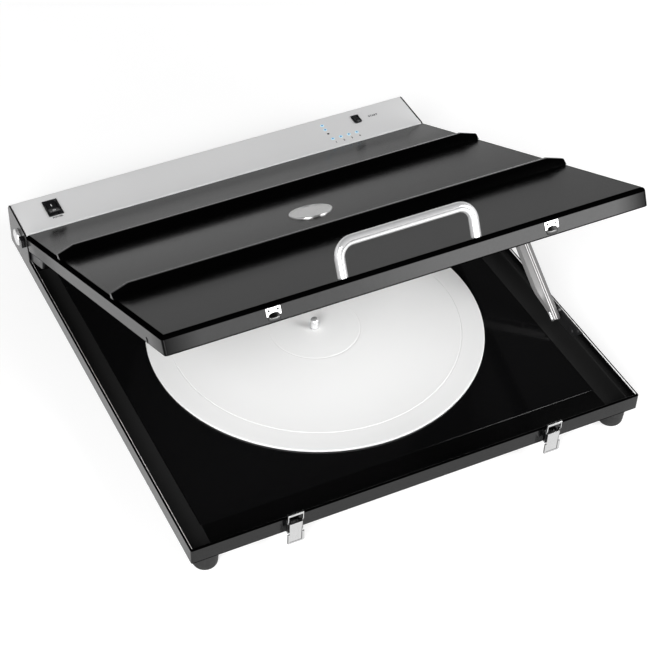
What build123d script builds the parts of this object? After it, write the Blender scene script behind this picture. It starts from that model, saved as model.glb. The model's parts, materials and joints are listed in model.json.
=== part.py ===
import os
from math import atan2, cos, hypot, radians, sin

from build123d import *

os.makedirs("parts", exist_ok=True)

# Sizes in mm. The table is z = 0, +Z is up, +Y is the rear, +X is the right side.

# Base tray, folded from sheet
base_w = 402.0
base_d = 425.0
sheet = 1.5
foot_h = 16.5
wall_h = 16.5
fold_r = 2.0
rim_r = 1.1
seat = 0.4

# Rear housing, its outline seen from the side
house_d = 54.0
cheek_step = 10.5
slope_run = 5.4
house_h = 27.8
panel_fall = 1.7
bend_run = 4.3
bend_drop = 5.3
panel_lip = 8.0
panel_side_gap = 0.3
front_wall_t = 1.2
front_wall_foot = 9.0

# Bed plate and what lies under it
plate_side = 21.9
plate_front = 32.5
plate_rear = 6.5
plate_t = 3.0
plate_gap = 0.4
heater_t = 1.0
heater_inset = 19.0
pan_flange = 6.0
pan_sheet = 1.0
pan_clear = 6.5
pad_inset = 1.0

# White disc and spindle
disc_r = 147.65
disc_t = 2.0
disc_edge = 0.6
spindle_r = 3.575
spindle_neck_r = 3.3
spindle_wall = 8.0
spindle_tip = 2.0
spindle_stud_r = 2.5
fit_gap = 0.05
disc_hole_gap = 0.12

# Feet
foot_r = 11.2
foot_edge = 1.2
foot_side = 16.0
foot_front = 12.0
foot_rear = 25.0

# Hinge
hinge_back = 29.0
hinge_up = 10.0
lid_open = 25.8
pin_r = 3.0
pin_head_r = 7.7
pin_head_h = 3.5
pin_head_edge = 0.8
arm_gap = 0.8
arm_t = 2.0
arm_eye_r = 8.0
arm_lap = 36.0
arm_drop = 11.0
arm_flange = 12.0
pin_past = 0.8
stop_w = 7.5
stop_h = 8.0
stop_t = 3.0
stop_ahead = 8.5
stop_above = 3.0

# Lid
lid_h = 15.5
rim_gap = 0.5
lid_rear_gap = 1.2
lid_over = 1.8
record_gap = 2.0
press_wall = 1.5
press_hole_r = 7.0
upper_pad_t = 18.0

# Ribs, badge and handle on the lid
rib_t = 5.0
rib_h = 9.0
rib_tip_h = 4.5
rib_tip = 15.0
rib_inset = 1.0
rib_places = (102.9, 251.2)
badge_r = 18.4
badge_t = 1.5
badge_place = 182.0
handle_r = 4.0
handle_sides = 20
handle_half = 55.5
handle_h = 30.0
handle_bend = 12.0
handle_inset = 6.6

# Rivets at the lid's front corners
rivet_r = 2.4
rivet_sides = 12
rivet_head_h = 0.6
lid_rivet_back = 39.0
lid_rivet_up = 2.8

# Catches on the lid, latches on the base
latch_side = 85.5
catch_w = 12.6
catch_h = 12.5
catch_drop = 2.4
catch_t = 0.8
hook_w = 7.4
hook_out = 1.2
hook_h = 3.6
hook_gap = 1.6
catch_hole_r = 0.95
catch_hole_x = 4.0
catch_hole_down = 3.6
latch_plate_t = 1.0
latch_plate_w = 9.4
latch_plate_h = 13.5
latch_plate_drop = 1.0
pivot_out = 3.2
pivot_drop = 3.0
latch_pin_r = 0.8
ear_x = 3.5
leaf_t = 0.8
leaf_gap = 0.4
ear_r = 1.7
lever_t = 1.0
lever_face = 6.6
lever_top = 1.3
lever_l = 22.4
lever_tab_w = 14.6
lever_tab_l = 10.5
loop_pin_drop = 9.0
loop_out = 3.9
loop_rise = 8.6
loop_arm_d = 2.6
loop_bar_t = 1.1
loop_gap = 0.6

# Stay on the right side
stay_pin_y = 118.6
stay_pin_up = 1.5
stay_top_v = 177.3
stay_top_w = 12.7
stay_side = 16.5
stay_w = 12.0
stay_h = 9.0
stay_wall = 1.2
stay_tail = 8.0
stay_head = 7.0
stay_pin_r = 2.5
stay_slot_l = 50.0
stay_stub_r = 2.6
stay_stub_gap = 0.4
stay_plate_t = 1.6
stay_plate_front = 36.0
stay_plate_slant = 13.0
stay_plate_rear = 10.0
stay_rivets = ((20.5, 8.5), (28.7, 1.6))
lid_bracket_half = 9.0
lid_bracket_flange = 9.0
pin_end = 1.0

# Controls on the panel, measured from its front edge
switch_side = 35.5
switch_y = 24.8
switch_w = 14.0
switch_l = 21.5
switch_lip = 0.8
bezel_t = 0.9
switch_deep = 13.0
rocker_w = 9.6
rocker_l = 16.0
rocker_gap = 0.6
rocker_sink = 1.6
rocker_edge_h = 2.6
rocker_mid_h = 1.0
rocker_under = 1.7
rocker_tilt = 8.0
trunnion_r = 1.0
button_side = 56.4
button_y = 29.5
button_w = 7.7
button_l = 11.5
button_wall = 0.9
button_lip = 0.4
button_proud = 1.6
button_cap_deep = 3.5
button_deep = 7.5
button_well = 6.0
button_gap = 0.3
light_side = 91.0
light_step = 8.8
light_row_y = 12.7
light_column = (21.2, 28.0, 34.7)
light_r = 0.9
window_sides = 8
light_gap = 0.1
light_proud = 0.2
guide_w = 3.6
guide_t = 2.0

# Inside the housing
board_w = 76.0
board_d = 38.0
board_t = 1.6
board_side = 73.0
board_up = 14.0
post_w = 5.0
post_inset = 5.0
supply_w = 84.0
supply_d = 36.0
supply_h = 21.0
supply_side = 141.0
supply_edge = 1.5
inlet_side = 51.0
inlet_up = 16.0
inlet_w = 27.2
inlet_h = 19.8
inlet_lip = 2.4
inlet_lip_t = 2.0
inlet_wall = 1.6
inlet_deep = 19.0
inlet_floor = 3.0
inlet_pin_l = 9.0
inlet_pin_w = 2.0
inlet_pin_h = 4.0
inlet_pin_step = 7.0
inlet_pin_drop = 3.4

# Levels and edges that follow from the sizes above
front = (lever_face - base_d - inlet_lip_t) / 2
rear = front + base_d
half_w = base_w / 2
inner_x = half_w - sheet
z_under = foot_h
z_floor = foot_h + sheet
z_rim = foot_h + wall_h
z_disc = z_floor + disc_t
house_y = rear - house_d
plate_w = base_w - 2 * plate_side
plate_d = base_d - house_d - plate_front - plate_rear
bed_y = front + plate_front + plate_d / 2
hinge_y = rear - hinge_back
hinge_z = z_rim + hinge_up
z_top = z_rim + house_h
cheek_point = (house_y, z_rim + cheek_step)
panel_front = (house_y + slope_run, z_top - panel_fall)
panel_rear = (rear - bend_run, z_top)
wall_point = (rear, z_top - bend_drop)
z_seam = wall_point[1] - panel_lip
latch_x = half_w - latch_side
latch_places = (-latch_x, latch_x)
stay_x0 = inner_x - stay_side
switch_x = half_w - switch_side
button_x = half_w - button_side
light_x = half_w - light_side
board_x = half_w - board_side
supply_x = half_w - supply_side
inlet_x = half_w - inlet_side
foot_x = half_w - foot_side

# Panel plane: x across, y from the front edge to the rear, z out of the panel
panel_angle = atan2(panel_rear[1] - panel_front[1], panel_rear[0] - panel_front[0])
panel = Plane(
    origin=(0, panel_front[0], panel_front[1]),
    x_dir=(1, 0, 0),
    z_dir=(0, -sin(panel_angle), cos(panel_angle)),
)

# Lid plane: origin on the hinge axis, z out of the lid's top
tilt = radians(lid_open)
lid = Plane(origin=(0, hinge_y, hinge_z), x_dir=(1, 0, 0), z_dir=(0, sin(tilt), cos(tilt)))
lid_rear = house_y - lid_rear_gap - hinge_y
lid_front = front - lid_over - hinge_y
lid_len = lid_rear - lid_front
lid_mid = (lid_rear + lid_front) / 2
lid_foot = z_rim + rim_gap - hinge_z
lid_top = lid_foot + lid_h
lid_ceiling = lid_top - sheet
press_under = z_disc + record_gap - hinge_z
press_v = bed_y - hinge_y


def side_of(plane, x):
    """Plane along the length of the given one, at this x: its x runs along the length, its y up."""
    return Plane(origin=plane.origin, x_dir=plane.y_dir, z_dir=plane.x_dir).offset(x)


def front_of(plane, y):
    """Plane facing forward, at this y of the given one: its x runs across, its y up."""
    shift = Plane(origin=plane.origin, x_dir=plane.x_dir, z_dir=plane.y_dir * -1)
    return shift.offset(-y)


def side_face(points):
    """Closed outline from points given along the length and up."""
    Polygon(*points, align=None)


upright = Plane(origin=(0, 0, 0), x_dir=(1, 0, 0), z_dir=(0, 0, 1))
house_outline = (
    (house_y, z_floor),
    cheek_point,
    panel_front,
    panel_rear,
    wall_point,
    (rear, z_floor),
)

# Base tray: walls, cheeks and raised rear wall from one sheet
base_mid = front + base_d / 2
with BuildPart() as base_tray:
    with BuildSketch(Plane.XY.offset(z_under)):
        with Locations((0, base_mid)):
            RectangleRounded(base_w, base_d, fold_r)
    extrude(amount=wall_h)
    chamfer(base_tray.faces().sort_by(Axis.Z)[0].edges(), rim_r)
    chamfer(base_tray.faces().sort_by(Axis.Z)[-1].edges(), rim_r)
    with BuildSketch(Plane.XY.offset(z_floor)):
        with Locations((0, base_mid)):
            Rectangle(base_w - 2 * sheet, base_d - 2 * sheet)
    extrude(amount=wall_h, mode=Mode.SUBTRACT)
    cheek_outline = (
        (house_y, z_floor),
        cheek_point,
        panel_front,
        panel_rear,
        wall_point,
        (rear, z_rim),
        (rear, z_floor),
    )
    for cheek_x in (-half_w, inner_x):
        with BuildSketch(side_of(upright, cheek_x)):
            side_face(cheek_outline)
        extrude(amount=sheet)
    with BuildSketch(front_of(upright, rear)):
        with Locations((0, (z_floor + z_seam) / 2)):
            Rectangle(base_w - 2 * sheet, z_seam - z_floor)
    extrude(amount=sheet)
    # Opening for the bed plate
    with BuildSketch(Plane.XY.offset(z_under)):
        with Locations((0, bed_y)):
            Rectangle(plate_w + 2 * plate_gap, plate_d + 2 * plate_gap)
    extrude(amount=sheet, mode=Mode.SUBTRACT)
    # Holes for the hinge pins and the power inlet
    for cheek_x in (-half_w, inner_x):
        with BuildSketch(side_of(upright, cheek_x)):
            with Locations((hinge_y, hinge_z)):
                Circle(pin_r + fit_gap)
        extrude(amount=sheet, mode=Mode.SUBTRACT)
    with BuildSketch(front_of(upright, rear)):
        with Locations((-inlet_x, z_floor + inlet_up)):
            Rectangle(inlet_w + 2 * fit_gap, inlet_h + 2 * fit_gap)
    extrude(amount=sheet, mode=Mode.SUBTRACT)

# Bottom pan: flange under the tray floor, walls and floor below it
pan_w = plate_w + 2 * plate_gap + 2 * pan_sheet
pan_d = plate_d + 2 * plate_gap + 2 * pan_sheet
pan_deep = z_under - pan_clear
with BuildPart() as bottom_pan:
    with BuildSketch(Plane.XY.offset(pan_clear)):
        with Locations((0, bed_y)):
            Rectangle(pan_w, pan_d)
    extrude(amount=pan_deep)
    with BuildSketch(Plane.XY.offset(z_under - pan_sheet)):
        with Locations((0, bed_y)):
            Rectangle(pan_w + 2 * pan_flange, pan_d + 2 * pan_flange)
    extrude(amount=pan_sheet)
    with BuildSketch(Plane.XY.offset(pan_clear + pan_sheet)):
        with Locations((0, bed_y)):
            Rectangle(plate_w + 2 * plate_gap, plate_d + 2 * plate_gap)
    extrude(amount=pan_deep, mode=Mode.SUBTRACT)

# Bed plate, lower heater and insulation pad
with BuildPart() as bed_plate:
    with BuildSketch(Plane.XY.offset(z_floor - plate_t)):
        with Locations((0, bed_y)):
            Rectangle(plate_w, plate_d)
            Circle(spindle_stud_r + fit_gap, mode=Mode.SUBTRACT)
    extrude(amount=plate_t)

heater_z = z_floor - plate_t - heater_t
with BuildPart() as lower_heater:
    with BuildSketch(Plane.XY.offset(heater_z)):
        with Locations((0, bed_y)):
            Rectangle(plate_w - 2 * heater_inset, plate_d - 2 * heater_inset)
    extrude(amount=heater_t)

pad_z = pan_clear + pan_sheet
with BuildPart() as lower_insulation:
    with BuildSketch(Plane.XY.offset(pad_z)):
        with Locations((0, bed_y)):
            Rectangle(plate_w - 2 * pad_inset, plate_d - 2 * pad_inset)
    extrude(amount=heater_z - pad_z)

# White disc with a bevelled rim
with BuildPart() as white_disc:
    with BuildSketch(Plane.XY.offset(z_floor)):
        with Locations((0, bed_y)):
            Circle(disc_r)
            Circle(spindle_r + disc_hole_gap, mode=Mode.SUBTRACT)
    extrude(amount=disc_t)
    disc_rim = white_disc.faces().sort_by(Axis.Z)[-1].edges().sort_by(SortBy.LENGTH)[-1]
    chamfer(disc_rim, disc_edge)

# Spindle: stud in the plate, neck in the disc, round wall above it and a bevelled tip
spindle_low = disc_t + fit_gap
with BuildPart() as spindle:
    with BuildSketch(Plane.XY.offset(z_floor + spindle_low)):
        with Locations((0, bed_y)):
            Circle(spindle_r)
    extrude(amount=spindle_wall + spindle_tip)
    chamfer(spindle.faces().sort_by(Axis.Z)[-1].edges(), spindle_tip, spindle_tip / 2)
    with BuildSketch(Plane.XY.offset(z_floor)):
        with Locations((0, bed_y)):
            Circle(spindle_neck_r)
    extrude(amount=spindle_low)
    with BuildSketch(Plane.XY.offset(z_floor)):
        with Locations((0, bed_y)):
            Circle(spindle_stud_r)
    extrude(amount=-plate_t)

# Rubber feet under the corners
foot_places = (
    (-foot_x, front + foot_front),
    (foot_x, front + foot_front),
    (-foot_x, rear - foot_rear),
    (foot_x, rear - foot_rear),
)
with BuildPart() as feet:
    with BuildSketch():
        with Locations(*foot_places):
            Circle(foot_r)
    extrude(amount=foot_h)
    chamfer(feet.faces().group_by(Axis.Z)[0].edges(), foot_edge)

# Housing front wall: foot flange, upright and the start of the slope
front_half = inner_x - arm_gap - arm_t - pin_past - arm_gap
with BuildPart() as housing_front:
    with BuildSketch(side_of(upright, -front_half)):
        side_face(house_outline)
        offset(amount=-front_wall_t, kind=Kind.INTERSECTION, mode=Mode.SUBTRACT)
        with Locations((house_y + front_wall_foot, z_floor)):
            Rectangle(house_d, house_h + wall_h, align=(Align.MIN, Align.MIN), mode=Mode.SUBTRACT)
        with Locations((house_y, z_seam)):
            Rectangle(house_d, house_h, align=(Align.MIN, Align.MIN), mode=Mode.SUBTRACT)
    extrude(amount=2 * front_half)

# Control panel: front lip, top and rear lip, with openings for the controls
panel_half = inner_x - panel_side_gap
lights = [(light_x + light_step * i, light_row_y) for i in range(4)]
lights += [(light_x, y) for y in light_column]
with BuildPart() as control_panel:
    with BuildSketch(side_of(upright, -panel_half)):
        side_face(house_outline)
        offset(amount=-sheet, kind=Kind.INTERSECTION, mode=Mode.SUBTRACT)
        with Locations((house_y + house_d / 2, z_seam + panel_side_gap)):
            Rectangle(base_d, house_h * 2, align=(Align.CENTER, Align.MAX), mode=Mode.SUBTRACT)
    extrude(amount=2 * panel_half)
    with BuildSketch(panel):
        with Locations((-switch_x, switch_y)):
            Rectangle(switch_w - 2 * switch_lip + 2 * fit_gap, switch_l - 2 * switch_lip + 2 * fit_gap)
        with Locations((button_x, button_y)):
            Rectangle(button_w - 2 * button_lip + 2 * fit_gap, button_l - 2 * button_lip + 2 * fit_gap)
        with Locations(*lights):
            RegularPolygon(light_r + light_gap, window_sides)
    extrude(amount=-2 * sheet, mode=Mode.SUBTRACT)

# Light guide behind the panel: one bar in the shape of an L with seven windows
guide_len_x = light_step * 3 + guide_w
guide_len_y = light_column[-1] - light_row_y + guide_w
with BuildPart() as light_guide:
    with BuildSketch(panel.offset(-sheet - guide_t)):
        with Locations((light_x - guide_w / 2, light_row_y - guide_w / 2)):
            Rectangle(guide_len_x, guide_w, align=(Align.MIN, Align.MIN))
            Rectangle(guide_w, guide_len_y, align=(Align.MIN, Align.MIN))
    extrude(amount=guide_t)
    with BuildSketch(panel.offset(-sheet)):
        with Locations(*lights):
            RegularPolygon(light_r, window_sides)
    extrude(amount=sheet + light_proud)

# Power switch: body with its bezel, and a rocker on two trunnions
well_w = rocker_w + 2 * rocker_gap
well_l = rocker_l + 2 * rocker_gap
with BuildPart() as switch_body:
    with BuildSketch(panel.offset(-switch_deep)):
        with Locations((-switch_x, switch_y)):
            Rectangle(switch_w - 2 * switch_lip, switch_l - 2 * switch_lip)
    extrude(amount=switch_deep)
    with BuildSketch(panel):
        with Locations((-switch_x, switch_y)):
            Rectangle(switch_w, switch_l)
    extrude(amount=bezel_t)
    with BuildSketch(panel.offset(bezel_t)):
        with Locations((-switch_x, switch_y)):
            Rectangle(well_w, well_l)
    extrude(amount=-bezel_t - 2 * rocker_sink - rocker_under - rocker_gap, mode=Mode.SUBTRACT)
    with BuildSketch(side_of(panel, -switch_x - switch_w / 2)):
        with Locations((switch_y, -rocker_sink)):
            Rectangle(2 * trunnion_r + 2 * fit_gap, 2 * trunnion_r + 2 * fit_gap)
    extrude(amount=switch_w, mode=Mode.SUBTRACT)

rocker_turn = panel_angle - radians(rocker_tilt)
rocker_origin = panel.from_local_coords((-switch_x, switch_y, -rocker_sink))
rocker_plane = Plane(
    origin=rocker_origin, x_dir=(1, 0, 0), z_dir=(0, -sin(rocker_turn), cos(rocker_turn))
)
with BuildPart() as power_rocker:
    with BuildSketch(side_of(rocker_plane, -rocker_w / 2)):
        side_face(
            (
                (-rocker_l / 2, rocker_edge_h),
                (0, rocker_mid_h),
                (rocker_l / 2, rocker_edge_h),
                (rocker_l / 2 - rocker_gap, -rocker_under),
                (-rocker_l / 2 + rocker_gap, -rocker_under),
            )
        )
    extrude(amount=rocker_w)
    with BuildSketch(side_of(rocker_plane, -well_w / 2 - rocker_gap)):
        Circle(trunnion_r)
    extrude(amount=well_w + 2 * rocker_gap)

# Start button: square bezel with a well, and the cap in it
cap_w = button_w - 2 * button_wall - 2 * button_gap
cap_l = button_l - 2 * button_wall - 2 * button_gap
with BuildPart() as button_bezel:
    with BuildSketch(panel.offset(-button_deep)):
        with Locations((button_x, button_y)):
            Rectangle(button_w - 2 * button_lip, button_l - 2 * button_lip)
    extrude(amount=button_deep)
    with BuildSketch(panel):
        with Locations((button_x, button_y)):
            Rectangle(button_w, button_l)
    extrude(amount=bezel_t)
    with BuildSketch(panel.offset(bezel_t)):
        with Locations((button_x, button_y)):
            Rectangle(button_w - 2 * button_wall, button_l - 2 * button_wall)
    extrude(amount=-bezel_t - button_well, mode=Mode.SUBTRACT)

with BuildPart() as start_button:
    with BuildSketch(panel.offset(-button_cap_deep)):
        with Locations((button_x, button_y)):
            Rectangle(cap_w, cap_l)
    extrude(amount=button_cap_deep + button_proud)
    cap_faces = start_button.faces().filter_by(lambda f: abs(f.normal_at().dot(panel.z_dir)) > 0.9)
    cap_top = cap_faces.sort_by(Axis.Z)[-1]
    chamfer(cap_top.edges(), button_lip)

# Control board on four posts, and the power supply
board_y = house_y + house_d / 2
board_z = z_floor + board_up
with BuildPart() as control_board:
    with BuildSketch(Plane.XY.offset(board_z)):
        with Locations((board_x, board_y)):
            Rectangle(board_w, board_d)
    extrude(amount=board_t)
    with BuildSketch(Plane.XY.offset(board_z + board_t)):
        with Locations((board_x - board_w / 4, board_y)):
            Rectangle(board_d / 2, board_d / 2)
        with Locations((board_x + board_w / 5, board_y - board_d / 5)):
            Rectangle(board_d / 4, board_d / 3)
    extrude(amount=board_t)

with BuildPart() as board_posts:
    with BuildSketch(Plane.XY.offset(z_floor)):
        with Locations((board_x, board_y)):
            with GridLocations(board_w - 2 * post_inset, board_d - 2 * post_inset, 2, 2):
                Rectangle(post_w, post_w)
    extrude(amount=board_up)

with BuildPart() as power_supply:
    with BuildSketch(Plane.XY.offset(z_floor)):
        with Locations((-supply_x, board_y)):
            Rectangle(supply_w, supply_d)
    extrude(amount=supply_h)
    chamfer(power_supply.faces().sort_by(Axis.Z)[-1].edges(), supply_edge)

# Power inlet: lip outside the rear wall, socket with three pins
inlet = Plane(origin=(-inlet_x, rear, z_floor + inlet_up), x_dir=(-1, 0, 0), z_dir=(0, 1, 0))
with BuildPart() as power_inlet:
    with BuildSketch(inlet):
        inlet_rim = Rectangle(inlet_w + 2 * inlet_lip, inlet_h + 2 * inlet_lip)
        chamfer(inlet_rim.vertices(), inlet_lip)
    extrude(amount=inlet_lip_t)
    with BuildSketch(inlet):
        Rectangle(inlet_w, inlet_h)
    extrude(amount=-inlet_deep)
    with BuildSketch(inlet.offset(inlet_lip_t)):
        socket = Rectangle(inlet_w - 2 * inlet_wall, inlet_h - 2 * inlet_wall)
        chamfer(socket.vertices().group_by(Axis.Y)[-1], 2 * inlet_wall)
    extrude(amount=inlet_floor - inlet_lip_t - inlet_deep, mode=Mode.SUBTRACT)
    with BuildSketch(inlet.offset(inlet_floor - inlet_deep)):
        with Locations((-inlet_pin_step, 0), (0, -inlet_pin_drop), (inlet_pin_step, 0)):
            Rectangle(inlet_pin_w, inlet_pin_h)
    extrude(amount=inlet_pin_l)

# Hinge pins with their heads outside the cheeks, and the stops in front of them
arm_out = inner_x - arm_gap
arm_in = arm_out - arm_t
pin_tip = arm_in - pin_past
with BuildPart() as hinge_pins:
    for way in (-1, 1):
        with BuildSketch(side_of(upright, way * half_w)):
            with Locations((hinge_y, hinge_z)):
                Circle(pin_head_r)
        extrude(amount=way * pin_head_h)
        with BuildSketch(side_of(upright, way * half_w)):
            with Locations((hinge_y, hinge_z)):
                Circle(pin_r)
        extrude(amount=-way * (half_w - pin_tip))
    head_faces = hinge_pins.faces().filter_by(Axis.X).group_by(Axis.X)
    chamfer(head_faces[0].edges() + head_faces[-1].edges(), pin_head_edge)


def build_stop(x):
    with BuildPart() as stop:
        with BuildSketch(side_of(upright, x)):
            with Locations((hinge_y - stop_ahead - stop_w / 2, hinge_z + stop_above)):
                Rectangle(stop_w, stop_h)
        extrude(amount=stop_t)
    return stop


stop_left = build_stop(-half_w - stop_t)
stop_right = build_stop(half_w)


# Latch bases: plate on the front wall, two ears and the pivot pin riveted in them
pivot_plane_y = front - pivot_out
pivot_z = z_rim - pivot_drop
flange_x = ear_x + leaf_t + leaf_gap
arm_x = flange_x + leaf_t + leaf_gap
pin_half = arm_x - leaf_gap / 2
with BuildPart() as latch_bases:
    for x in latch_places:
        with BuildSketch(front_of(upright, front)):
            with Locations((x, z_rim - latch_plate_drop - latch_plate_h / 2)):
                Rectangle(latch_plate_w, latch_plate_h)
        extrude(amount=latch_plate_t)
        for ear in (-ear_x - leaf_t, ear_x):
            with BuildSketch(side_of(upright, x + ear)):
                with Locations((front, pivot_z)):
                    ear_leaf = Rectangle(pivot_out + ear_r, 2 * ear_r, align=(Align.MAX, Align.CENTER))
                chamfer(ear_leaf.vertices().group_by(Axis.X)[0], ear_r / 2)
            extrude(amount=leaf_t)
        for way in (-1, 1):
            with BuildSketch(side_of(upright, x + way * (ear_x + leaf_t))):
                with Locations((pivot_plane_y, pivot_z)):
                    Circle(latch_pin_r)
            extrude(amount=way * (pin_half - ear_x - leaf_t))

# Stay bracket on the right wall, with its stub and rivet heads
stay_y = front + stay_pin_y
stay_z = z_rim - stay_pin_up
plate_top = z_rim - rim_gap
plate_low = z_floor + seat
bracket_x = inner_x - stay_plate_t
with BuildPart() as stay_bracket:
    with BuildSketch(side_of(upright, bracket_x)):
        side_face(
            (
                (stay_y - stay_plate_front, plate_top),
                (stay_y - stay_plate_front + stay_plate_slant, plate_low),
                (stay_y + stay_plate_rear, plate_low),
                (stay_y + stay_plate_rear, plate_top),
            )
        )
    extrude(amount=stay_plate_t)
    with BuildSketch(side_of(upright, bracket_x)):
        for ahead, below in stay_rivets:
            with Locations((stay_y - ahead, stay_z - below)):
                RegularPolygon(rivet_r, rivet_sides)
    extrude(amount=-rivet_head_h)
    stub_x = stay_x0 + stay_w + stay_stub_gap
    with BuildSketch(side_of(upright, stub_x)):
        with Locations((stay_y, stay_z)):
            Circle(stay_stub_r)
    extrude(amount=bracket_x - stub_x)

# Lid shell: shallow folded cover, open below, built where it stands half open
handle_v = lid_front + handle_inset
rivet_v = lid_front + lid_rivet_back
rivet_w = lid_foot + lid_rivet_up
with BuildPart() as lid_shell:
    with BuildSketch(lid.offset(lid_foot)):
        with Locations((0, lid_mid)):
            RectangleRounded(base_w, lid_len, fold_r)
    extrude(amount=lid_h)
    lid_faces = lid_shell.faces().sort_by(Axis(lid.origin, lid.z_dir))
    chamfer(lid_faces[-1].edges(), rim_r)
    with BuildSketch(lid.offset(lid_foot)):
        with Locations((0, lid_mid)):
            Rectangle(base_w - 2 * sheet, lid_len - 2 * sheet)
    extrude(amount=lid_h - sheet, mode=Mode.SUBTRACT)
    # Rivet heads on the side walls near the front corners
    for way in (-1, 1):
        with BuildSketch(side_of(lid, way * half_w)):
            with Locations((rivet_v, rivet_w)):
                RegularPolygon(rivet_r, rivet_sides)
        extrude(amount=way * rivet_head_h)


# Stiffening ribs across the lid with their ends cut down
def build_rib(place):
    rib_half = half_w - rib_inset
    with BuildPart() as rib:
        with BuildSketch(front_of(lid, lid_rear - place)):
            side_face(
                (
                    (-rib_half, lid_top),
                    (-rib_half, lid_top + rib_tip_h),
                    (-rib_half + rib_tip, lid_top + rib_h),
                    (rib_half - rib_tip, lid_top + rib_h),
                    (rib_half, lid_top + rib_tip_h),
                    (rib_half, lid_top),
                )
            )
        extrude(amount=rib_t)
    return rib


rib_rear = build_rib(rib_places[0])
rib_front = build_rib(rib_places[1])

# Badge: bare round plate
badge_v = lid_rear - badge_place
with BuildPart() as badge:
    with BuildSketch(lid.offset(lid_top)):
        with Locations((0, badge_v)):
            Circle(badge_r)
    extrude(amount=badge_t)

# Handle: bent rod on the lid's top
handle_plane = front_of(lid, handle_v)
handle_rise = lid_top + handle_h - handle_r
with BuildPart() as handle:
    with BuildLine(handle_plane):
        FilletPolyline(
            (-handle_half, lid_top),
            (-handle_half, handle_rise),
            (handle_half, handle_rise),
            (handle_half, lid_top),
            radius=handle_bend,
        )
    with BuildSketch(lid.offset(lid_top)):
        with Locations((-handle_half, handle_v)):
            RegularPolygon(handle_r, handle_sides)
    sweep()

# Upper press plate: thick face and thin walls up to the lid, with a hole over the spindle
press_h = lid_ceiling - press_under
with BuildPart() as press_plate:
    with BuildSketch(lid.offset(press_under)):
        with Locations((0, press_v)):
            Rectangle(plate_w, plate_d)
            Circle(press_hole_r, mode=Mode.SUBTRACT)
    extrude(amount=press_h)
    with BuildSketch(lid.offset(press_under + plate_t)):
        with Locations((0, press_v)):
            Rectangle(plate_w - 2 * press_wall, plate_d - 2 * press_wall)
    extrude(amount=press_h, mode=Mode.SUBTRACT)

with BuildPart() as upper_heater:
    with BuildSketch(lid.offset(press_under + plate_t)):
        with Locations((0, press_v)):
            Rectangle(plate_w - 2 * heater_inset, plate_d - 2 * heater_inset)
            Rectangle(2 * press_hole_r, 2 * press_hole_r, mode=Mode.SUBTRACT)
    extrude(amount=heater_t)

with BuildPart() as upper_insulation:
    with BuildSketch(lid.offset(press_under + plate_t + heater_t)):
        with Locations((0, press_v)):
            Rectangle(plate_w - 2 * press_wall - 2 * pad_inset, plate_d - 2 * press_wall - 2 * pad_inset)
            Rectangle(2 * press_hole_r, 2 * press_hole_r, mode=Mode.SUBTRACT)
    extrude(amount=min(upper_pad_t, press_h - plate_t - heater_t - pad_inset))


# Hinge arms: plate beside the cheek, eye round the pin, flange under the lid's top
def build_hinge_arm(way):
    arm_side = way * arm_in if way > 0 else way * arm_out
    lap_end = lid_rear - sheet - seat
    lap_start = lap_end - arm_lap
    with BuildPart() as arm:
        with BuildSketch(side_of(lid, arm_side)):
            side_face(
                (
                    (lap_start, lid_ceiling),
                    (lap_start, lid_foot + seat),
                    (lap_start + arm_drop, lid_foot - arm_drop),
                    (-arm_eye_r * 2, lid_foot - arm_drop),
                    (0, -arm_eye_r),
                    (0, arm_eye_r / 2),
                    (lid_rear + seat, lid_foot - seat),
                    (lap_end, lid_foot - seat),
                    (lap_end, lid_ceiling),
                )
            )
            Circle(arm_eye_r)
            Circle(pin_r + fit_gap, mode=Mode.SUBTRACT)
        extrude(amount=arm_t)
        with BuildSketch(lid.offset(lid_ceiling - arm_t)):
            with Locations((way * arm_out, lap_start)):
                side = Align.MAX if way > 0 else Align.MIN
                Rectangle(arm_flange, arm_lap, align=(side, Align.MIN))
        extrude(amount=arm_t)
    return arm


hinge_arm_left = build_hinge_arm(-1)
hinge_arm_right = build_hinge_arm(1)


# Catches: plate with two rivet holes and a curled hook below the middle
catch_top = lid_top - catch_drop


def build_catch(x):
    plate_face = front_of(lid, lid_front)
    with BuildPart() as catch:
        with BuildSketch(plate_face):
            with Locations((x, catch_top - catch_h / 2)):
                Rectangle(catch_w, catch_h)
            with Locations(
                (x - catch_hole_x, catch_top - catch_hole_down),
                (x + catch_hole_x, catch_top - catch_hole_down),
            ):
                RegularPolygon(catch_hole_r, window_sides, mode=Mode.SUBTRACT)
            with Locations((x, catch_top - catch_h + hook_gap + hook_h / 2)):
                Rectangle(hook_w, hook_h, mode=Mode.SUBTRACT)
        extrude(amount=catch_t)
        with BuildSketch(side_of(lid, x - hook_w / 2)):
            low = catch_top - catch_h
            side_face(
                (
                    (lid_front, low),
                    (lid_front - catch_t - hook_out / 2, low),
                    (lid_front - catch_t - hook_out, low + hook_gap),
                    (lid_front - catch_t - hook_out, low + hook_gap + hook_h / 2),
                    (lid_front - hook_out, low + hook_gap + hook_h / 2),
                    (lid_front - hook_out, low + hook_gap),
                    (lid_front, low + hook_gap),
                )
            )
        extrude(amount=hook_w)
    return catch


catch_left = build_catch(-latch_x)
catch_right = build_catch(latch_x)

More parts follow.
